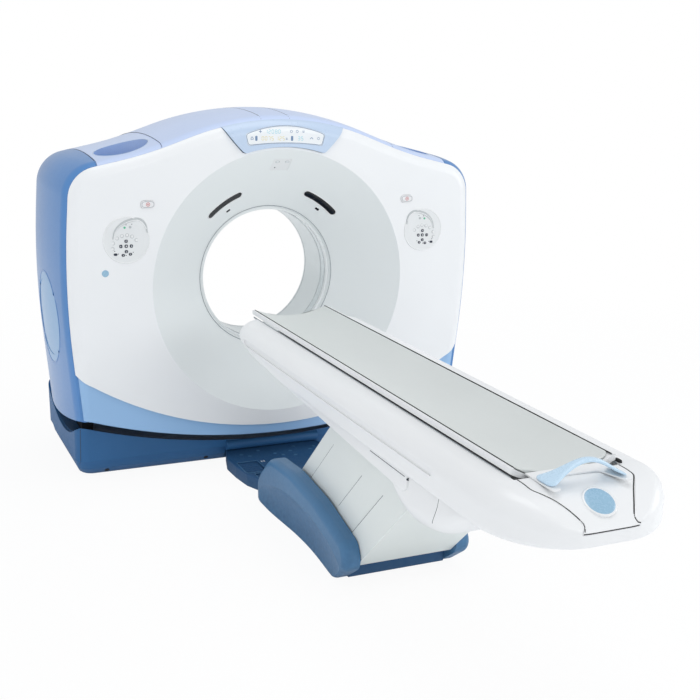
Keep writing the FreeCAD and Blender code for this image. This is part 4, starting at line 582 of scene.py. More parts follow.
# Caps: superellipse outlines |u/a|^n + |v/b|^n = 1, drawn in towards a domed top, closed below.
def caps(origins, rights, ups, outs, halfWidths, halfHeights, rise, power=3.0, dome=0.2, sink=0.6):
    count = len(origins)
    halfWidths, halfHeights = (np.broadcast_to(half, count)[:, None, None] for half in (halfWidths, halfHeights))
    rights, ups, outs = (np.broadcast_to(np.asarray(axis, dtype=np.float64), (count, 3))[:, None, None]
                         for axis in (rights, ups, outs))
    outlineU, outlineV = roundedOutline(28, 2 / power, 2 / power)
    share = np.array([0.0, 1.0, 1.0, 0.95, 0.82, 0.45, 0.0])
    height = np.array([-sink, -sink, rise * 0.55, rise * 0.9, rise, rise * (1 + dome * 0.8), rise * (1 + dome)])
    u = share[None, :, None] * outlineU[None, None] * halfWidths
    v = share[None, :, None] * outlineV[None, None] * halfHeights
    w = np.broadcast_to(height[None, :, None], u.shape)
    grid = u[..., None] * rights + v[..., None] * ups + w[..., None] * outs
    return np.asarray(origins, dtype=np.float64)[:, None, None] + grid


# side and upward axes that lie on a surface, from its normals
def axesOn(normals, upHint):
    rights = np.cross(np.broadcast_to(np.asarray(upHint, dtype=np.float64), normals.shape), normals)
    rights /= np.linalg.norm(rights, axis=1, keepdims=True)
    return rights, np.cross(normals, rights)


def mirrorX(points):
    return np.asarray(points, dtype=np.float64) * (-1, 1, 1)


# one grid or several, and the same on the other side of the scanner
def bothSides(grids):
    grids = grids[None] if grids.ndim == 3 else grids
    return np.concatenate([grids, mirrorX(grids)])


# a bead along points that feelers find on a CAD node
def beadOn(node, feeler, first, second, width, rise, ring=False):
    path, normals = onSurface(node, feeler, first, second)
    return carryLoop(path, normals, bead(width, rise), ring=ring)


# round caps at points that feelers find on a CAD node, the way up as near to vertical as it can be
def roundCapsOn(node, feeler, first, second, halfWidths, halfHeights, rise):
    places, normals = onSurface(node, feeler, first, second)
    return caps(places, *axesOn(normals, upAxis), normals, halfWidths, halfHeights, rise, power=2)


# seams over the roof, side by side with the real joints between the lids
roofSeams = {
    "front": -468,
    "rear": 428,
    "width": 4.0,
    "rise": 0.35,
    "lines": (("crown_lid", -116), ("crown_lid", 36), ("crown_lid", -619), ("crown_lid", 619),
              ("side_shell_left", -936), ("side_shell_right", 936)),
}


def makeRoofSeams(look):
    y = np.linspace(look["front"], look["rear"], 48)
    grids = [beadOn(node, "above", x, y, look["width"], look["rise"]) for node, x in look["lines"]]
    addSurface("roofSeamLines", grids, "seamShadow", "gantry")


makeRoofSeams(roofSeams)

# a raised rib round the plain oval recess on each side shell
sideOval = {"centre": (-170, 812), "radii": (194, 234), "width": 8, "rise": 1.8}


def makeSideOvals(look):
    line = ellipse(look["centre"], look["radii"], 96)
    grid = beadOn("side_shell_left", "left", *line, look["width"], look["rise"], ring=True)
    addSurface("sideOvalRibs", bothSides(grid), "sideBlue", "gantry", ring=True)


makeSideOvals(sideOval)

# a soft lip round each shoulder dish
dishLip = {"centre": (-778, -300), "radii": (133, 133), "width": 6, "rise": 1.4}


def makeDishLips(look):
    line = ellipse(look["centre"], look["radii"], 72)
    grid = beadOn("shoulder_lid_left", "above", *line, look["width"], look["rise"], ring=True)
    addSurface("dishLips", bothSides(grid), "displayBlue", "gantry", ring=True)


makeDishLips(dishLip)
print("roof seams, side ovals and dish lips made")

# the display: an outline, symbols and numbers as thin raised bars
displayLook = {
    "rise": 0.35,
    "digit": (5.0, 9.0, 1.3),  # half width, half height and bar half thickness
    "digitGaps": (1, 0.6),  # how much shorter a level and an upright bar are, at each end
    "cyan": (("120", -104, 1754, 17), ("80", -52, 1754, 17), ("35", 70, 1721, 17)),
    "amber": (("0075", -122, 1721, 17), ("125", -46, 1721, 17)),
    "blocks": ((-156, 1721, 6, 12), (33, 1721, 6, 12)),
    "rings": ((29, 1755, 6), (60, 1755, 6), (176, 1721, 6)),
    "ringWidth": 2.2,
    "bars": ((-135, 1754, 8, 1.6, 0), (-135, 1754, 8, 1.6, 90), (94, 1757, 7, 1.4, 0), (94, 1751, 5, 1.4, 0),
             (-178, 1716, 7, 1.4, 0), (-182, 1723, 7, 1.4, 62), (-174, 1723, 7, 1.4, -62),
             (135, 1722, 6, 1.4, 45), (143, 1722, 6, 1.4, -45), (4, 1722, 5, 1.4, 0), (4, 1716, 5, 1.4, 0)),
}
# each bar of a digit: place across and up in half sizes, and angle
segmentPlaces = {
    "a": (0, 1, 0), "b": (1, 0.5, 90), "c": (1, -0.5, 90), "d": (0, -1, 0),
    "e": (-1, -0.5, 90), "f": (-1, 0.5, 90), "g": (0, 0, 0),
}
digitSegments = {"0": "abcdef", "1": "bc", "2": "abged", "3": "abgcd", "5": "afgcd", "7": "abc", "8": "abcdefg"}


def barsOnWindow(name, bars, paintName, rise):
    bars = np.array(bars, dtype=np.float64)
    places, normals = onSurface("display_window", "ahead", bars[:, 0], bars[:, 1])
    rights, ups = axesOn(normals, upAxis)
    angle = np.radians(bars[:, 4])[:, None]
    along = rights * np.cos(angle) + ups * np.sin(angle)
    aside = np.cross(normals, along)
    grids = caps(places, along, aside, normals, bars[:, 2], bars[:, 3], rise, power=5, dome=0)
    addSurface(name, grids, paintName, "gantry")


def digitBars(groups, look):
    halfWidth, halfHeight, thick = look["digit"]
    levelGap, uprightGap = look["digitGaps"]
    bars = []
    for text, x, z, pitch in groups:
        for place, figure in enumerate(text):
            for segment in digitSegments[figure]:
                across, upward, angle = segmentPlaces[segment]
                length = halfWidth - levelGap if angle == 0 else halfHeight / 2 - uprightGap
                middle = x + place * pitch + across * halfWidth
                bars.append((middle, z + upward * halfHeight, length, thick, angle))
    return bars


def makeDisplay(look):
    barsOnWindow("displayDigitsCyan", digitBars(look["cyan"], look), "digitCyan", look["rise"])
    barsOnWindow("displayDigitsAmber", digitBars(look["amber"], look), "digitAmber", look["rise"])
    solid = [(x, z, a, b, 0) for x, z, a, b in look["blocks"]] + list(look["bars"])
    barsOnWindow("displaySymbols", solid, "markBlue", look["rise"])
    rings = []
    for x, z, radius in look["rings"]:
        line = ellipse((x, z), (radius, radius), 24)
        rings.append(beadOn("display_window", "ahead", *line, look["ringWidth"], look["rise"], ring=True))
    addSurface("displayRings", rings, "markBlue", "gantry", ring=True)


makeDisplay(displayLook)

# a thin dark line round the display window, inside its edge
windowEdge = {"top": (1784, 1742, 212), "bottom": (1697, 1684, 198), "inset": 2.5, "width": 2.6, "rise": 0.5}


# both long sides are arcs: height z = middle - (middle - end) * (x / half)^2
def makeWindowEdge(look):
    sides = []
    for sign, (middle, end, half) in ((-1, look["top"]), (1, look["bottom"])):
        x = np.linspace(-1, 1, 17) * (half - look["inset"])
        z = middle - (middle - end) * (x / half) ** 2 + sign * look["inset"]
        sides.append(np.stack([x, z], axis=-1)[::-sign])
    flat = steps(np.concatenate(sides), 220, 10, ring=True)
    grid = beadOn("display_window", "ahead", *flat.T, look["width"], look["rise"], ring=True)
    addSurface("windowOutline", grid, "markBlue", "gantry", ring=True)


makeWindowEdge(windowEdge)
print("display made")

# the round control panels: rim, crescent, keys; u to the right of the panel's centre and v above it
panelLook = {
    "centre": (-806, 1238),
    "rimRadius": 111,
    "crescent": ((-66, 6), (-58, 46), (-24, 80), (18, 96), (64, 103), (96, 76), (102, 34)),
    "navy": ((-1, -30, 8, 8), (-1, -6, 8, 7.5), (-1, -56, 8, 7.5), (-27, -30, 7.5, 8), (24, -30, 7.5, 8),
             (-54, -68, 9, 6), (-17, -73, 8, 6.5), (18, -69, 8, 6.5)),
    "navyMarks": ((-1, -30, 3, 3), (-1, -5, 3.4, 1.6), (-1, -57, 3.4, 1.6), (-28, -30, 1.6, 3.4),
                  (25, -30, 1.6, 3.4), (-17, -72, 3, 1.5), (18, -68, 3, 1.5)),
    "grey": ((-45, 9), (-21, 20), (4, 23), (28, 16), (49, -2), (-65, -14), (-68, -41)),
    "greyRadius": 8,
    "greyInset": 2.2,
    # width and rise of each bead; the small one round a key also names its sink and number of points
    "beads": {"rim": (5, 1.8), "crescent": (17, 2.6), "lip": (6, 3.6), "key": (2.4, 0.7, 0.4, 8)},
    "lipInset": 0.955,
    "rises": {"key": 2.4, "mark": 0.5, "grey": 1.6, "dot": 0.6, "lamp": 1.8},
    "markLift": 2.6,
    "dotRadius": 2.2,
    "top": ((-8, 60, 5.5, "keyGreen"), (19, 62, 6.5, "keyGrey")),
    "dots": ((-1, 74), (27, 76), (-40, -66), (-3, -74), (32, -60), (-58, -52)),
}
# the dish's centre line and curve, its half width, and the ring flush with the cover, all from the bore's middle
panelDish = {"middle": -1095, "curve": 600.0, "reach": 84.6, "ring": 111.5, "face": -500.2}


# the panel's face: y = middle + sqrt(curve^2 - r^2) in the dish, and flat on the cover outside the ring
def panelDepth(u, v, look=panelDish):
    reach = np.sqrt(np.minimum(u**2 + v**2, look["reach"] ** 2))
    dished = look["middle"] + np.sqrt(look["curve"] ** 2 - reach**2)
    return np.where(u**2 + v**2 > look["ring"] ** 2, look["face"], dished)


def makePanels(look):
    beads = {name: bead(*size) for name, size in look["beads"].items()}
    rises = look["rises"]
    for side, sign in (("Left", 1), ("Right", -1)):
        def placed(pairs, lift=0.0):
            u, v = np.array(pairs, dtype=np.float64)[:, :2].T
            places = spots(look["centre"][0] + u, panelDepth(u, v) - lift, look["centre"][1] + v)
            return places if sign == 1 else mirrorX(places)

        def addCaps(name, rows, halfWidths, halfHeights, rise, paintName, power=2, lift=0.0):
            places = placed(rows, lift)
            grid = caps(places, rightAxis, upAxis, frontAxis, halfWidths, halfHeights, rise, power=power)
            addSurface(f"panel{name}{side}", grid, paintName, "gantry")

        rim = placed(np.stack(ellipse((0, 0), (look["rimRadius"], look["rimRadius"]), 96), axis=-1))
        grid = carryLoop(rim, frontAxis, beads["rim"], ring=True)
        addSurface(f"panelRim{side}", grid, "whiteTrim", "gantry", ring=True)
        arc = steps(look["crescent"], 60, 30)
        swell = np.sin(np.linspace(0.08, np.pi - 0.08, 60)) ** 0.7  # widest half way, narrow at both tips
        grid = carryLoop(placed(arc), frontAxis, beads["crescent"], scale=swell)
        addSurface(f"panelCrescent{side}", grid, "keyGrey", "gantry")
        grid = carryLoop(placed(arc * look["lipInset"]), frontAxis, beads["lip"], scale=swell)
        addSurface(f"panelCrescentLip{side}", grid, "whiteTrim", "gantry")
        keys, marks = np.array(look["navy"]), np.array(look["navyMarks"])
        addCaps("Keys", keys, keys[:, 2], keys[:, 3], rises["key"], "keyNavy", power=3)
        addCaps("KeyMarks", marks, marks[:, 2], marks[:, 3], rises["mark"], "markWhite", 3, look["markLift"])
        radius = look["greyRadius"]
        inner = radius - look["greyInset"]
        addCaps("GreyKeys", look["grey"], inner, inner, rises["grey"], "whiteTrim")
        acrossKey, upKey = ellipse((0, 0), (1, 1), 20)
        loops = placed(look["grey"])[:, None] + radius * spots(acrossKey, 0, upKey)[None]
        rings = [carryLoop(loop, frontAxis, beads["key"], ring=True) for loop in loops]
        addSurface(f"panelKeyRings{side}", rings, "keyGrey", "gantry", ring=True)
        addCaps("Dots", look["dots"], look["dotRadius"], look["dotRadius"], rises["dot"], "keyNavy")
        for number, (u, v, size, paintName) in enumerate(look["top"], 1):
            addCaps(f"Lamp{number}", [(u, v)], size, size, rises["lamp"], paintName)


makePanels(panelLook)

# the stop buttons: a thin outline and a ring with a bar
stopLook = {
    "place": (-700, 1407),
    "face": -505,
    "half": (29, 14),
    "ring": 8.5,
    "bar": (1.5, 5, 0.6),  # half width, half length and rise
    "beads": ((2.4, 0.7), (2.8, 0.7)),  # the outline's and the ring's width and rise
}


def makeStopMarks(look):
    x, z = look["place"]
    outlineU, outlineV = roundedOutline(48, 0.5, 0.7)
    short, tall, rise = look["bar"]
    outlineBead, ringBead = (bead(*size) for size in look["beads"])
    for side, sign in (("Left", 1), ("Right", -1)):
        body = "stop_button_" + side.lower()
        outline = spots(sign * (x + look["half"][0] * outlineU), look["face"], z + look["half"][1] * outlineV)
        grid = carryLoop(outline, frontAxis, outlineBead, ring=True)
        addSurface(f"stopOutline{side}", grid, "softSeam", body, ring=True)
        acrossRing, upRing = ellipse((sign * x, z), (look["ring"], look["ring"]), 48)
        grid = carryLoop(spots(acrossRing, look["face"], upRing), frontAxis, ringBead, ring=True)
        addSurface(f"stopRing{side}", grid, "stopRed", body, ring=True)
        places = [(sign * x, look["face"], z)] * 2
        grid = caps(places, rightAxis, upAxis, frontAxis, (short, tall), (tall, short), rise)
        addSurface(f"stopBars{side}", grid, "stopRed", body)


makeStopMarks(stopLook)
print("control panels and stop buttons made")

# black slot glasses with pale rims, and a small sensor beside each, on the front cone
coneLook = {
    "axisHeight": 986,
    "rim": (680, -500),  # radius and station where the cone meets the front face
    "lip": (372, -271),
    "slotRadius": 478,
    "slotAngles": (45.5, 66.5),
    "slotHalf": 18.5,
    "slotRim": (2.4, 5.6, 4.2),  # how far out it runs, its width and its rise
    # the glass from its buried middle round its edge to the top: share of the outline, and height
    "glass": ((0.0, -1.0), (1.0, -1.0), (1.0, 1.6), (0.9, 3.0), (0.6, 3.6), (0.25, 3.8), (0.0, 3.8)),
    "sensors": ((-231, 1340), (260, 1339)),
    "sensorHalf": (12, 7),
    "sensorRim": 2,
    "sensorRises": (0.9, 1.5),  # the rim's and the glass's
}
# how far the cone runs back for each millimetre inwards
coneSlope = (coneLook["lip"][1] - coneLook["rim"][1]) / (coneLook["rim"][0] - coneLook["lip"][0])


# a place on the cone from the angle round the axis and the distance from it, and the outward normal
def onCone(angle, radius, look=coneLook):
    y = look["rim"][1] + (look["rim"][0] - radius) * coneSlope
    place = spots(radius * np.cos(angle), y, look["axisHeight"] + radius * np.sin(angle))
    normal = spots(-np.cos(angle) * coneSlope, -1, -np.sin(angle) * coneSlope) / math.hypot(1, coneSlope)
    return place, normal


def makeLaserSlots(look):
    low, high = np.radians(look["slotAngles"])
    half, radius = look["slotHalf"], look["slotRadius"]
    span = (high - low) / 2 * radius
    run = np.linspace(-span, span, 24, endpoint=False)
    bend = np.linspace(0, np.pi, 12, endpoint=False)

    # a stadium: along holds the long way round the axis, aside the way across the slot
    def stadium(reach):
        tip = span + reach * np.sin(bend)
        edge = np.full(len(run), reach)
        along = np.concatenate([run, tip, -run, -tip])
        aside = np.concatenate([-edge, -reach * np.cos(bend), edge, reach * np.cos(bend)])
        return along, aside

    def laid(along, aside):
        return onCone((low + high) / 2 + along / radius, radius + aside / math.hypot(1, coneSlope))

    share, lift = np.array(look["glass"]).T[:, :, None]
    along, aside = stadium(half)
    spine = np.clip(along, -span, span)
    place, normal = laid(spine * share**0.5 + (along - spine) * share, aside * share)
    addSurface("slotGlasses", bothSides(place + normal * lift[..., None]), "smokedGlass", "gantry")
    reach, width, rise = look["slotRim"]
    grid = carryLoop(*laid(*stadium(half + reach)), bead(width, rise), ring=True)
    addSurface("slotRims", bothSides(grid), "whiteTrim", "gantry", ring=True)


# the small sensors between the slots and the cone's lip
def makeSensors(look):
    x, z = np.array(look["sensors"], dtype=np.float64).T
    angle = np.arctan2(z - look["axisHeight"], x)
    places, normals = onCone(angle, np.hypot(x, z - look["axisHeight"]))
    aroundAxis = spots(-np.sin(angle), 0, np.cos(angle))
    outward = np.cross(normals, aroundAxis)
    rimRise, glassRise = look["sensorRises"]
    for name, paintName, extra, rise in (("sensorRims", "whiteTrim", look["sensorRim"], rimRise),
                                         ("sensorGlasses", "smokedGlass", 0, glassRise)):
        width, height = (half + extra for half in look["sensorHalf"])
        grid = caps(places, aroundAxis, outward, normals, width, height, rise, power=5)
        addSurface(name, grid, paintName, "gantry")


makeLaserSlots(coneLook)
makeSensors(coneLook)

# the guide light panel: two lenses and a small lamp
guideLook = {
    "lenses": ((-18, 1600, 12, 7), (34, 1600, 12, 7)),
    "dots": ((-25, 1570, 3.2, 3.2),),
    "rim": 2.5,
    "rises": (1.0, 1.8, 1.2),  # the rims', the lenses' and the dot's
}


def makeGuideMarks(look):
    def addMarks(name, rows, inset, rise, paintName):
        x, z, halfWidth, halfHeight = np.array(rows, dtype=np.float64).T
        grid = roundCapsOn("guide_light_panel", "ahead", x, z, halfWidth - inset, halfHeight - inset, rise)
        addSurface(name, grid, paintName, "gantry")

    rimRise, lensRise, dotRise = look["rises"]
    addMarks("guideLensRims", look["lenses"], 0, rimRise, "keyGrey")
    addMarks("guideLenses", look["lenses"], look["rim"], lensRise, "displayWhite")
    addMarks("guideDot", look["dots"], 0, dotRise, "keyNavy")


makeGuideMarks(guideLook)

# thin rings in the bore: the lip, and both edges of the scan window
boreRings = {
    "radius": 349.6,
    "stations": (-236, -180, 40),
    "bead": (2.6, 0.5, 0.2),  # width, rise and sink
    "lip": (371, -273),
    "lipBead": (3.2, 1.2),
}


def makeBoreRings(look):
    turn = turns(128)
    inward = spots(-np.cos(turn), 0, -np.sin(turn))
    middle = np.array((0, 0, coneLook["axisHeight"]))
    grids = [carryLoop(middle + (0, station, 0) - look["radius"] * inward, inward, bead(*look["bead"]), ring=True)
             for station in look["stations"]]
    radius, station = look["lip"]
    lip = middle + (0, station, 0) - radius * inward
    grids.append(carryLoop(lip, frontAxis, bead(*look["lipBead"]), ring=True))
    addSurface("boreRings", grids, "softSeam", "gantry", ring=True)


makeBoreRings(boreRings)

# a plain round badge where the maker's sign would be
badgeLook = {"place": (-911, -500, 1080), "radius": 17, "rise": 1.6}


def makeBadge(look):
    radius = look["radius"]
    grid = caps([look["place"]], rightAxis, upAxis, frontAxis, radius, radius, look["rise"], power=2)
    addSurface("frontBadge", grid, "badgeBlue", "gantry")


makeBadge(badgeLook)
print("cone, bore and badge made")

# dark strips on the free edges of the sliding leg covers, painted shade for the gaps between the sheets; u up
# along the arms, v across them
leverLook = {
    "foot": 165,  # pivot height
    "covers": (
        # body, hinge line, edge v, start and end of the lip along u, inner face of the sheet from the middle
        ("lift_rear", -1915, -49, (-24, 385), 219.5),
        ("leg_cover_second", -1795, -112, (36, 335), 215.5),
        ("leg_cover_third", -1469, -112, (46, 384), 211.5),
    ),
    "reach": 4.5,
    "thickness": 1.1,
    "overlap": 1,  # how far a lip runs over its sheet's edge
    "inset": 0.75,
}


def makeCoverGapShadows(look):
    slant = math.sqrt(0.5)  # the arms stand at 45 degrees
    loop = bead(look["reach"] + 2 * look["overlap"], look["thickness"] / 2, look["thickness"] / 2)
    for number, (body, line, edge, (start, stop), face) in enumerate(look["covers"], 1):
        u = np.linspace(start, stop, 20)
        v = edge - (look["reach"] / 2 - look["overlap"])
        path = spots(-(face - look["inset"]), line - slant * u - slant * v, look["foot"] + slant * u - slant * v)
        grid = carryLoop(path, (-1, 0, 0), loop)
        addSurface(f"coverGapShadows{number}", bothSides(grid), "seamShadow", body)


makeCoverGapShadows(leverLook)

# the belly fairing: a slot line with a hole at its foot end, and the pod's joint
fairingLook = {
    "slot": ((-2203, 688), (-2485, 686)),
    "joint": ((-2718, 692), (-2708, 650), (-2690, 612), (-2668, 580)),
    "widths": (3.2, 2.6),
    "rise": 0.4,
    "hole": (-2500, 680, 6, 0.5),  # place, radius and rise
}


def makeFairingLines(look):
    grids = []
    for corners, width in zip((look["slot"], look["joint"]), look["widths"]):
        grid = beadOn("belly_fairing", "leftOfTable", *steps(corners, 40, 12).T, width, look["rise"])
        grids.extend(bothSides(grid))
    addSurface("fairingLines", grids, "seamShadow", "table_top")
    y, z, radius, rise = look["hole"]
    grid = roundCapsOn("belly_fairing", "leftOfTable", y, z, radius, radius, rise)
    addSurface("fairingHoles", bothSides(grid), "seamShadow", "table_top")


makeFairingLines(fairingLook)
print("leg and fairing lines made")

# the foot control: bezels, ribs on the pedals, domes and a white symbol on the deck
footControl = {
    "deck": 66,
    "pedals": {
        # body: middle x, back y, width, length
        "pedal_raise_left": (-215, -590, 105, 150),
        "pedal_raise_right": (215, -590, 105, 150),
        "pedal_lower_left": (-190, -768, 84, 96),
        "pedal_lower_right": (190, -768, 84, 96),
    },
    "pedalTop": 60,
    "ribs": 6,
    "rib": (10, 3.2, 2.0),  # room beside it, half width and rise
    "bezel": (5, 5, 2.4),  # room round the pedal, width and rise
    "domes": ((-207, -474), (-173, -509), (-102, -442), (-33, -513), (60, -500), (1, -548), (64, -570),
              (-55, -640), (102, -442), (173, -509), (207, -474)),
    "dome": (10, 8, 2.2),  # half sizes and rise
    "symbolRise": 0.5,
    "symbol": ((-142, -603, 2, 9), (-126, -603, 2, 9), (-134, -603, 7, 2)),
}


def makeFootControl(look):
    def addCaps(name, places, halfWidths, halfHeights, rise, power, paintName, body):
        grid = caps(places, rightAxis, backAxis, upAxis, halfWidths, halfHeights, rise, power=power)
        addSurface(name, grid, paintName, body)

    room, width, rise = look["bezel"]
    ribRoom, ribHalf, ribRise = look["rib"]
    frames = []
    for body, (x, back, across, length) in look["pedals"].items():
        left, right = x - across / 2 - room, x + across / 2 + room
        near, far = back - length - room, back + room
        flat = steps([(left, far), (right, far), (right, near), (left, near)], 64, 3, ring=True)
        path = spots(flat[:, 0], flat[:, 1], look["deck"])
        frames.append(carryLoop(path, upAxis, bead(width, rise), ring=True))
        pitch = length / look["ribs"]
        places = [(x, back - pitch * (part + 0.5), look["pedalTop"]) for part in range(look["ribs"])]
        addCaps("ribs_" + body, places, across / 2 - ribRoom, ribHalf, ribRise, 4, "footBlue", body)
    addSurface("pedalBezels", frames, "shoeBlue", "floor_base", ring=True)
    domes = [(x, y, look["deck"]) for x, y in look["domes"]]
    addCaps("controlDomes", domes, *look["dome"], 2, "shoeBlue", "floor_base")
    x, y, halfWidths, halfHeights = np.array(look["symbol"], dtype=np.float64).T
    places, rise = spots(x, y, look["deck"]), look["symbolRise"]
    addCaps("controlSymbol", places, halfWidths, halfHeights, rise, 5, "markWhite", "floor_base")


makeFootControl(footControl)

# the gantry base: plugs in its four holes and a joint near each front corner
baseLook = {
    "plugs": ((891, 22, 13), (362, 28, 13)),
    "holeReach": 16,  # feelers go this far beside a hole, where there is a face to find
    "plugRise": 1.0,
    "joint": (1030, 70, 268),
    "jointBead": (3.0, 0.4),
}


def makeBaseMarks(look):
    plugs = [(side * x, z, radius) for x, z, radius in look["plugs"] for side in (-1, 1)]
    x, z, radius = np.array(plugs, dtype=np.float64).T
    places, normals = onSurface("base_cover", "ahead", x + look["holeReach"], z)
    places[:, 0] -= look["holeReach"]
    grid = caps(places, *axesOn(normals, upAxis), normals, radius, radius, look["plugRise"], power=2)
    addSurface("basePlugs", grid, "beltRubber", "floor_base")
    x, low, high = look["joint"]
    grid = beadOn("base_cover", "ahead", -x, np.linspace(low, high, 24), *look["jointBead"])
    addSurface("baseJoints", bothSides(grid), "seamShadow", "floor_base")


makeBaseMarks(baseLook)

# the foot panel: its outline, a plain raised disc, and a latch
panelEnd = {
    "outline": ((198, -3014), (198, -3091), (150, -3151), (109, -3210), (92, -3235), (104, -3247), (106, -3252)),
    "inset": 2.2,
    "outlineBead": (4.4, 0.4),
    "endLine": (104, 750.5),  # half length and height
    "endBead": (3.6, 0.4),
    "disc": (0, -3176, 52),
    "discRim": 6,
    "discRises": (3.4, 4.6),  # the rim's and the disc's
    "discSink": 6,
    "discDrop": 1.5,  # how far below the slope's surface the disc is set
    "slope": (-3040, 578, 274),  # where the slope starts, and the centre height and radius of its curve
    "latch": (214, -2986, 852, 6, 17, 9),  # place, half width, half length and rise
}


def makeFootPanel(look):
    grids = []
    outline = steps(look["outline"], 60, 8)
    for sign in (-1, 1):
        x = sign * outline[:, 0] - sign * look["inset"]
        grids.append(beadOn("foot_panel", "aboveTable", x, outline[:, 1], *look["outlineBead"]))
    half, height = look["endLine"]
    grids.append(beadOn("foot_panel", "footEnd", np.linspace(-half, half, 60), height, *look["endBead"]))
    addSurface("panelOutline", grids, "beltRubber", "table_top")
    x, y, radius = look["disc"]
    startY, centreZ, curve = look["slope"]
    fall = startY - y
    climb = math.sqrt(curve**2 - fall**2)
    outward = np.array((0.0, -fall, climb)) / curve
    along = np.cross(outward, rightAxis)
    rimRise, discRise = look["discRises"]
    place = [(x, y, centreZ + climb - look["discDrop"])]
    for name, size, rise, dome, paintName in (("footDiscRim", radius + look["discRim"], rimRise, 0, "whiteTrim"),
                                              ("footDisc", radius, discRise, 0.5, "badgeBlue")):
        grid = caps(place, rightAxis, along, outward, size, size, rise, 2, dome, look["discSink"])
        addSurface(name, grid, paintName, "table_top")
    x, y, z, halfX, halfY, rise = look["latch"]
    latch = caps([(x, y, z)], rightAxis, backAxis, upAxis, halfX, halfY, rise, power=4)
    addSurface("channelLatch", latch, "beltRubber", "table_top")


makeFootPanel(panelEnd)
print("foot control, base and foot panel marks made")

# the pull handle: a flattened loop carried along a bell-shaped arch, wide and thin at its feet
handleLook = {
    "half": 148,
    "low": 862.5,
    "high": 923.5,
    "middle": -3096,
    "footMiddle": -3077.5,
    "width": (15, 60),  # half width at the top and at the feet
    "thickness": (7.4, 5.0),  # half thickness there
    "closing": 0.84,  # the feet round off from this share of the half length on
    "tip": (0.25, 0.4),  # share of the width and the thickness left at the very end
    "screw": (-122, -3058, 7),
    "screwLift": 9,
    "screwRise": 1.6,
}


# height z = low + rise * cos(s*pi/2)^1.35 and half width w = top + spread * |s|^2.6, s from -1 to 1
def makeHandle(look):
    s = np.linspace(-0.995, 0.995, 97)
    reach = np.abs(s)
    z = look["low"] + (look["high"] - look["low"]) * np.cos(s * np.pi / 2) ** 1.35
    y = look["middle"] + (look["footMiddle"] - look["middle"]) * s**2
    path = spots(look["half"] * s, y, z)
    tangent = np.gradient(path, axis=0)
    tangent /= np.linalg.norm(tangent, axis=1, keepdims=True)
    normals = np.cross(tangent, backAxis)
    normals /= np.linalg.norm(normals, axis=1, keepdims=True)
    past = ((reach - look["closing"]) / (1 - look["closing"])).clip(0)
    closing = np.sqrt(np.clip(1 - past**2, 0, 1))
    wideTop, wideFoot = look["width"]
    thickTop, thickFoot = look["thickness"]
    wideTip, thickTip = look["tip"]
    width = (wideTop + (wideFoot - wideTop) * reach**2.6) * (wideTip + (1 - wideTip) * closing)
    thick = (thickTop + (thickFoot - thickTop) * reach**1.5) * (thickTip + (1 - thickTip) * closing)
    loopU, loopV = roundedOutline(28, 0.8, 0.8)
    grid = path[:, None] + loopU[None, :, None] * width[:, None, None] * np.array(backAxis)
    grid = grid + loopV[None, :, None] * thick[:, None, None] * normals[:, None]
    handle = addSurface("pullHandle", closeEnds(grid, path), "handleBlue", "cradle")
    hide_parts("cradle_handle")
    x, y, radius = look["screw"]
    places = [(side * x, y, look["low"] + look["screwLift"]) for side in (1, -1)]
    grid = caps(places, rightAxis, backAxis, upAxis, radius, radius, look["screwRise"], power=2)
    addSurface("handleScrews", grid, "softSeam", "cradle")


makeHandle(handleLook)

# The pad: closed cross-sections along the cradle. The upper face follows the cradle's hollow with a slight
# crown, thickness tapers to the edges, the sides draw in a little between the ends, and faint creases cross it.
padLook = {
    "half": 187,
    "edge": 884,
    "hollow": 452,  # radius of the cradle's hollow
    "thickness": (8.5, 21),
    "ends": (-2972, -613),
    "closing": (9, 26),  # the last stretch, where it thins and where its corners round off
    "drawnIn": 1.5,
    "creases": (0.5, 61, 173, 1.2),  # height, two lengths along the pad and the second one's shift
}


def padMiddle(x, look):
    sag = look["hollow"] - np.sqrt(look["hollow"] ** 2 - look["half"] ** 2)
    top = look["edge"] - sag + look["hollow"] - np.sqrt(look["hollow"] ** 2 - x**2)
    thick = look["thickness"][0] + (look["thickness"][1] - look["thickness"][0]) * (1 - (x / look["half"]) ** 2)
    return top - thick / 2, thick


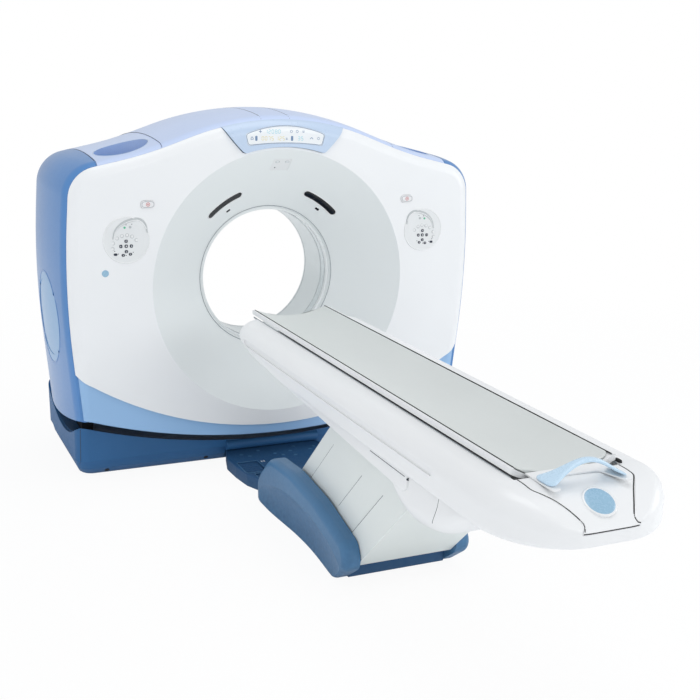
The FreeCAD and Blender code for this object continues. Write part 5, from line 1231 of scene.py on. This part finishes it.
def makePad(look):
    rows, columns = 220, 64
    foot, head = look["ends"]
    share = 0.5 - 0.5 * np.cos(np.pi * np.linspace(0, 1, rows))  # rows lie closer at both ends
    y = foot + (head - foot) * share
    fromEnd = np.minimum(y - foot, head - y)
    thinning, rounding = look["closing"]
    closing = np.sqrt(np.clip(1 - (1 - np.clip(fromEnd / thinning, 0, 1)) ** 2, 0, 1))
    corner = np.clip(1 - fromEnd / rounding, 0, 1)
    half = look["half"] - rounding * (1 - np.sqrt(1 - corner**2)) - look["drawnIn"] * np.sin(np.pi * share) ** 0.5
    loopX, loopZ = roundedOutline(columns, 0.45, 0.55)
    x = half[:, None] * loopX[None]
    middle, thick = padMiddle(np.clip(x, -look["half"], look["half"]), look)
    height, shortWave, longWave, shift = look["creases"]
    waves = height * (np.sin(y / shortWave) * np.sin(y / longWave + shift))[:, None]
    crease = waves * (1 - (x / look["half"]) ** 2) * (loopZ > 0)
    z = middle + thick / 2 * loopZ[None] * closing[:, None] + crease * closing[:, None]
    grid = spots(x, y[:, None], z)
    flat = padMiddle(np.zeros(1), look)[0][0]
    grid = closeEnds(grid, np.array([(0.0, foot, flat), (0.0, head, flat)]))
    pad = addSurface("cradlePad", grid, "padVinyl", "cradle")
    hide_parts("cradle_pad")


makePad(padLook)

# dark piping in the groove between the pad and each cradle lip, and a grey strip filling the gap beside each lip,
# painted shade that draws the gap as a thin grey line
stripLook = {
    # name: body, finish, distance aside, height, ends, steps, width, rise and sink
    "padPiping": ("cradle", "beltRubber", 190.2, 880.6, (-2978, -614), 60, 4.4, 1.6, 3.0),
    "cradleGapShadeStrips": ("table_top", "softSeam", 205.2, 852.5, (-2990, -640), 80, 3.2, 1.6, 7.0),
}


def makeStrips(look):
    for name, (body, paintName, aside, height, ends, count, width, rise, sink) in look.items():
        path = spots(-aside, np.linspace(*ends, count), height)
        grid = carryLoop(path, upAxis, bead(width, rise, sink))
        addSurface(name, bothSides(grid), paintName, body)


makeStrips(stripLook)
print("handle and pad made")

# the rear cover: rows of vent slots low on each side
ventLook = {"rows": 11, "pitch": 17, "place": (760, 506, 470), "half": (62, 3.2), "rise": 0.7}


def makeVents(look):
    x, face, z = look["place"]
    places = spots(x, face, z + np.arange(look["rows"]) * look["pitch"])
    grid = caps(places, (-1, 0, 0), upAxis, backAxis, *look["half"], look["rise"], power=6)
    addSurface("rearVents", bothSides(grid), "seamShadow", "gantry")


makeVents(ventLook)
print("rear vents made")
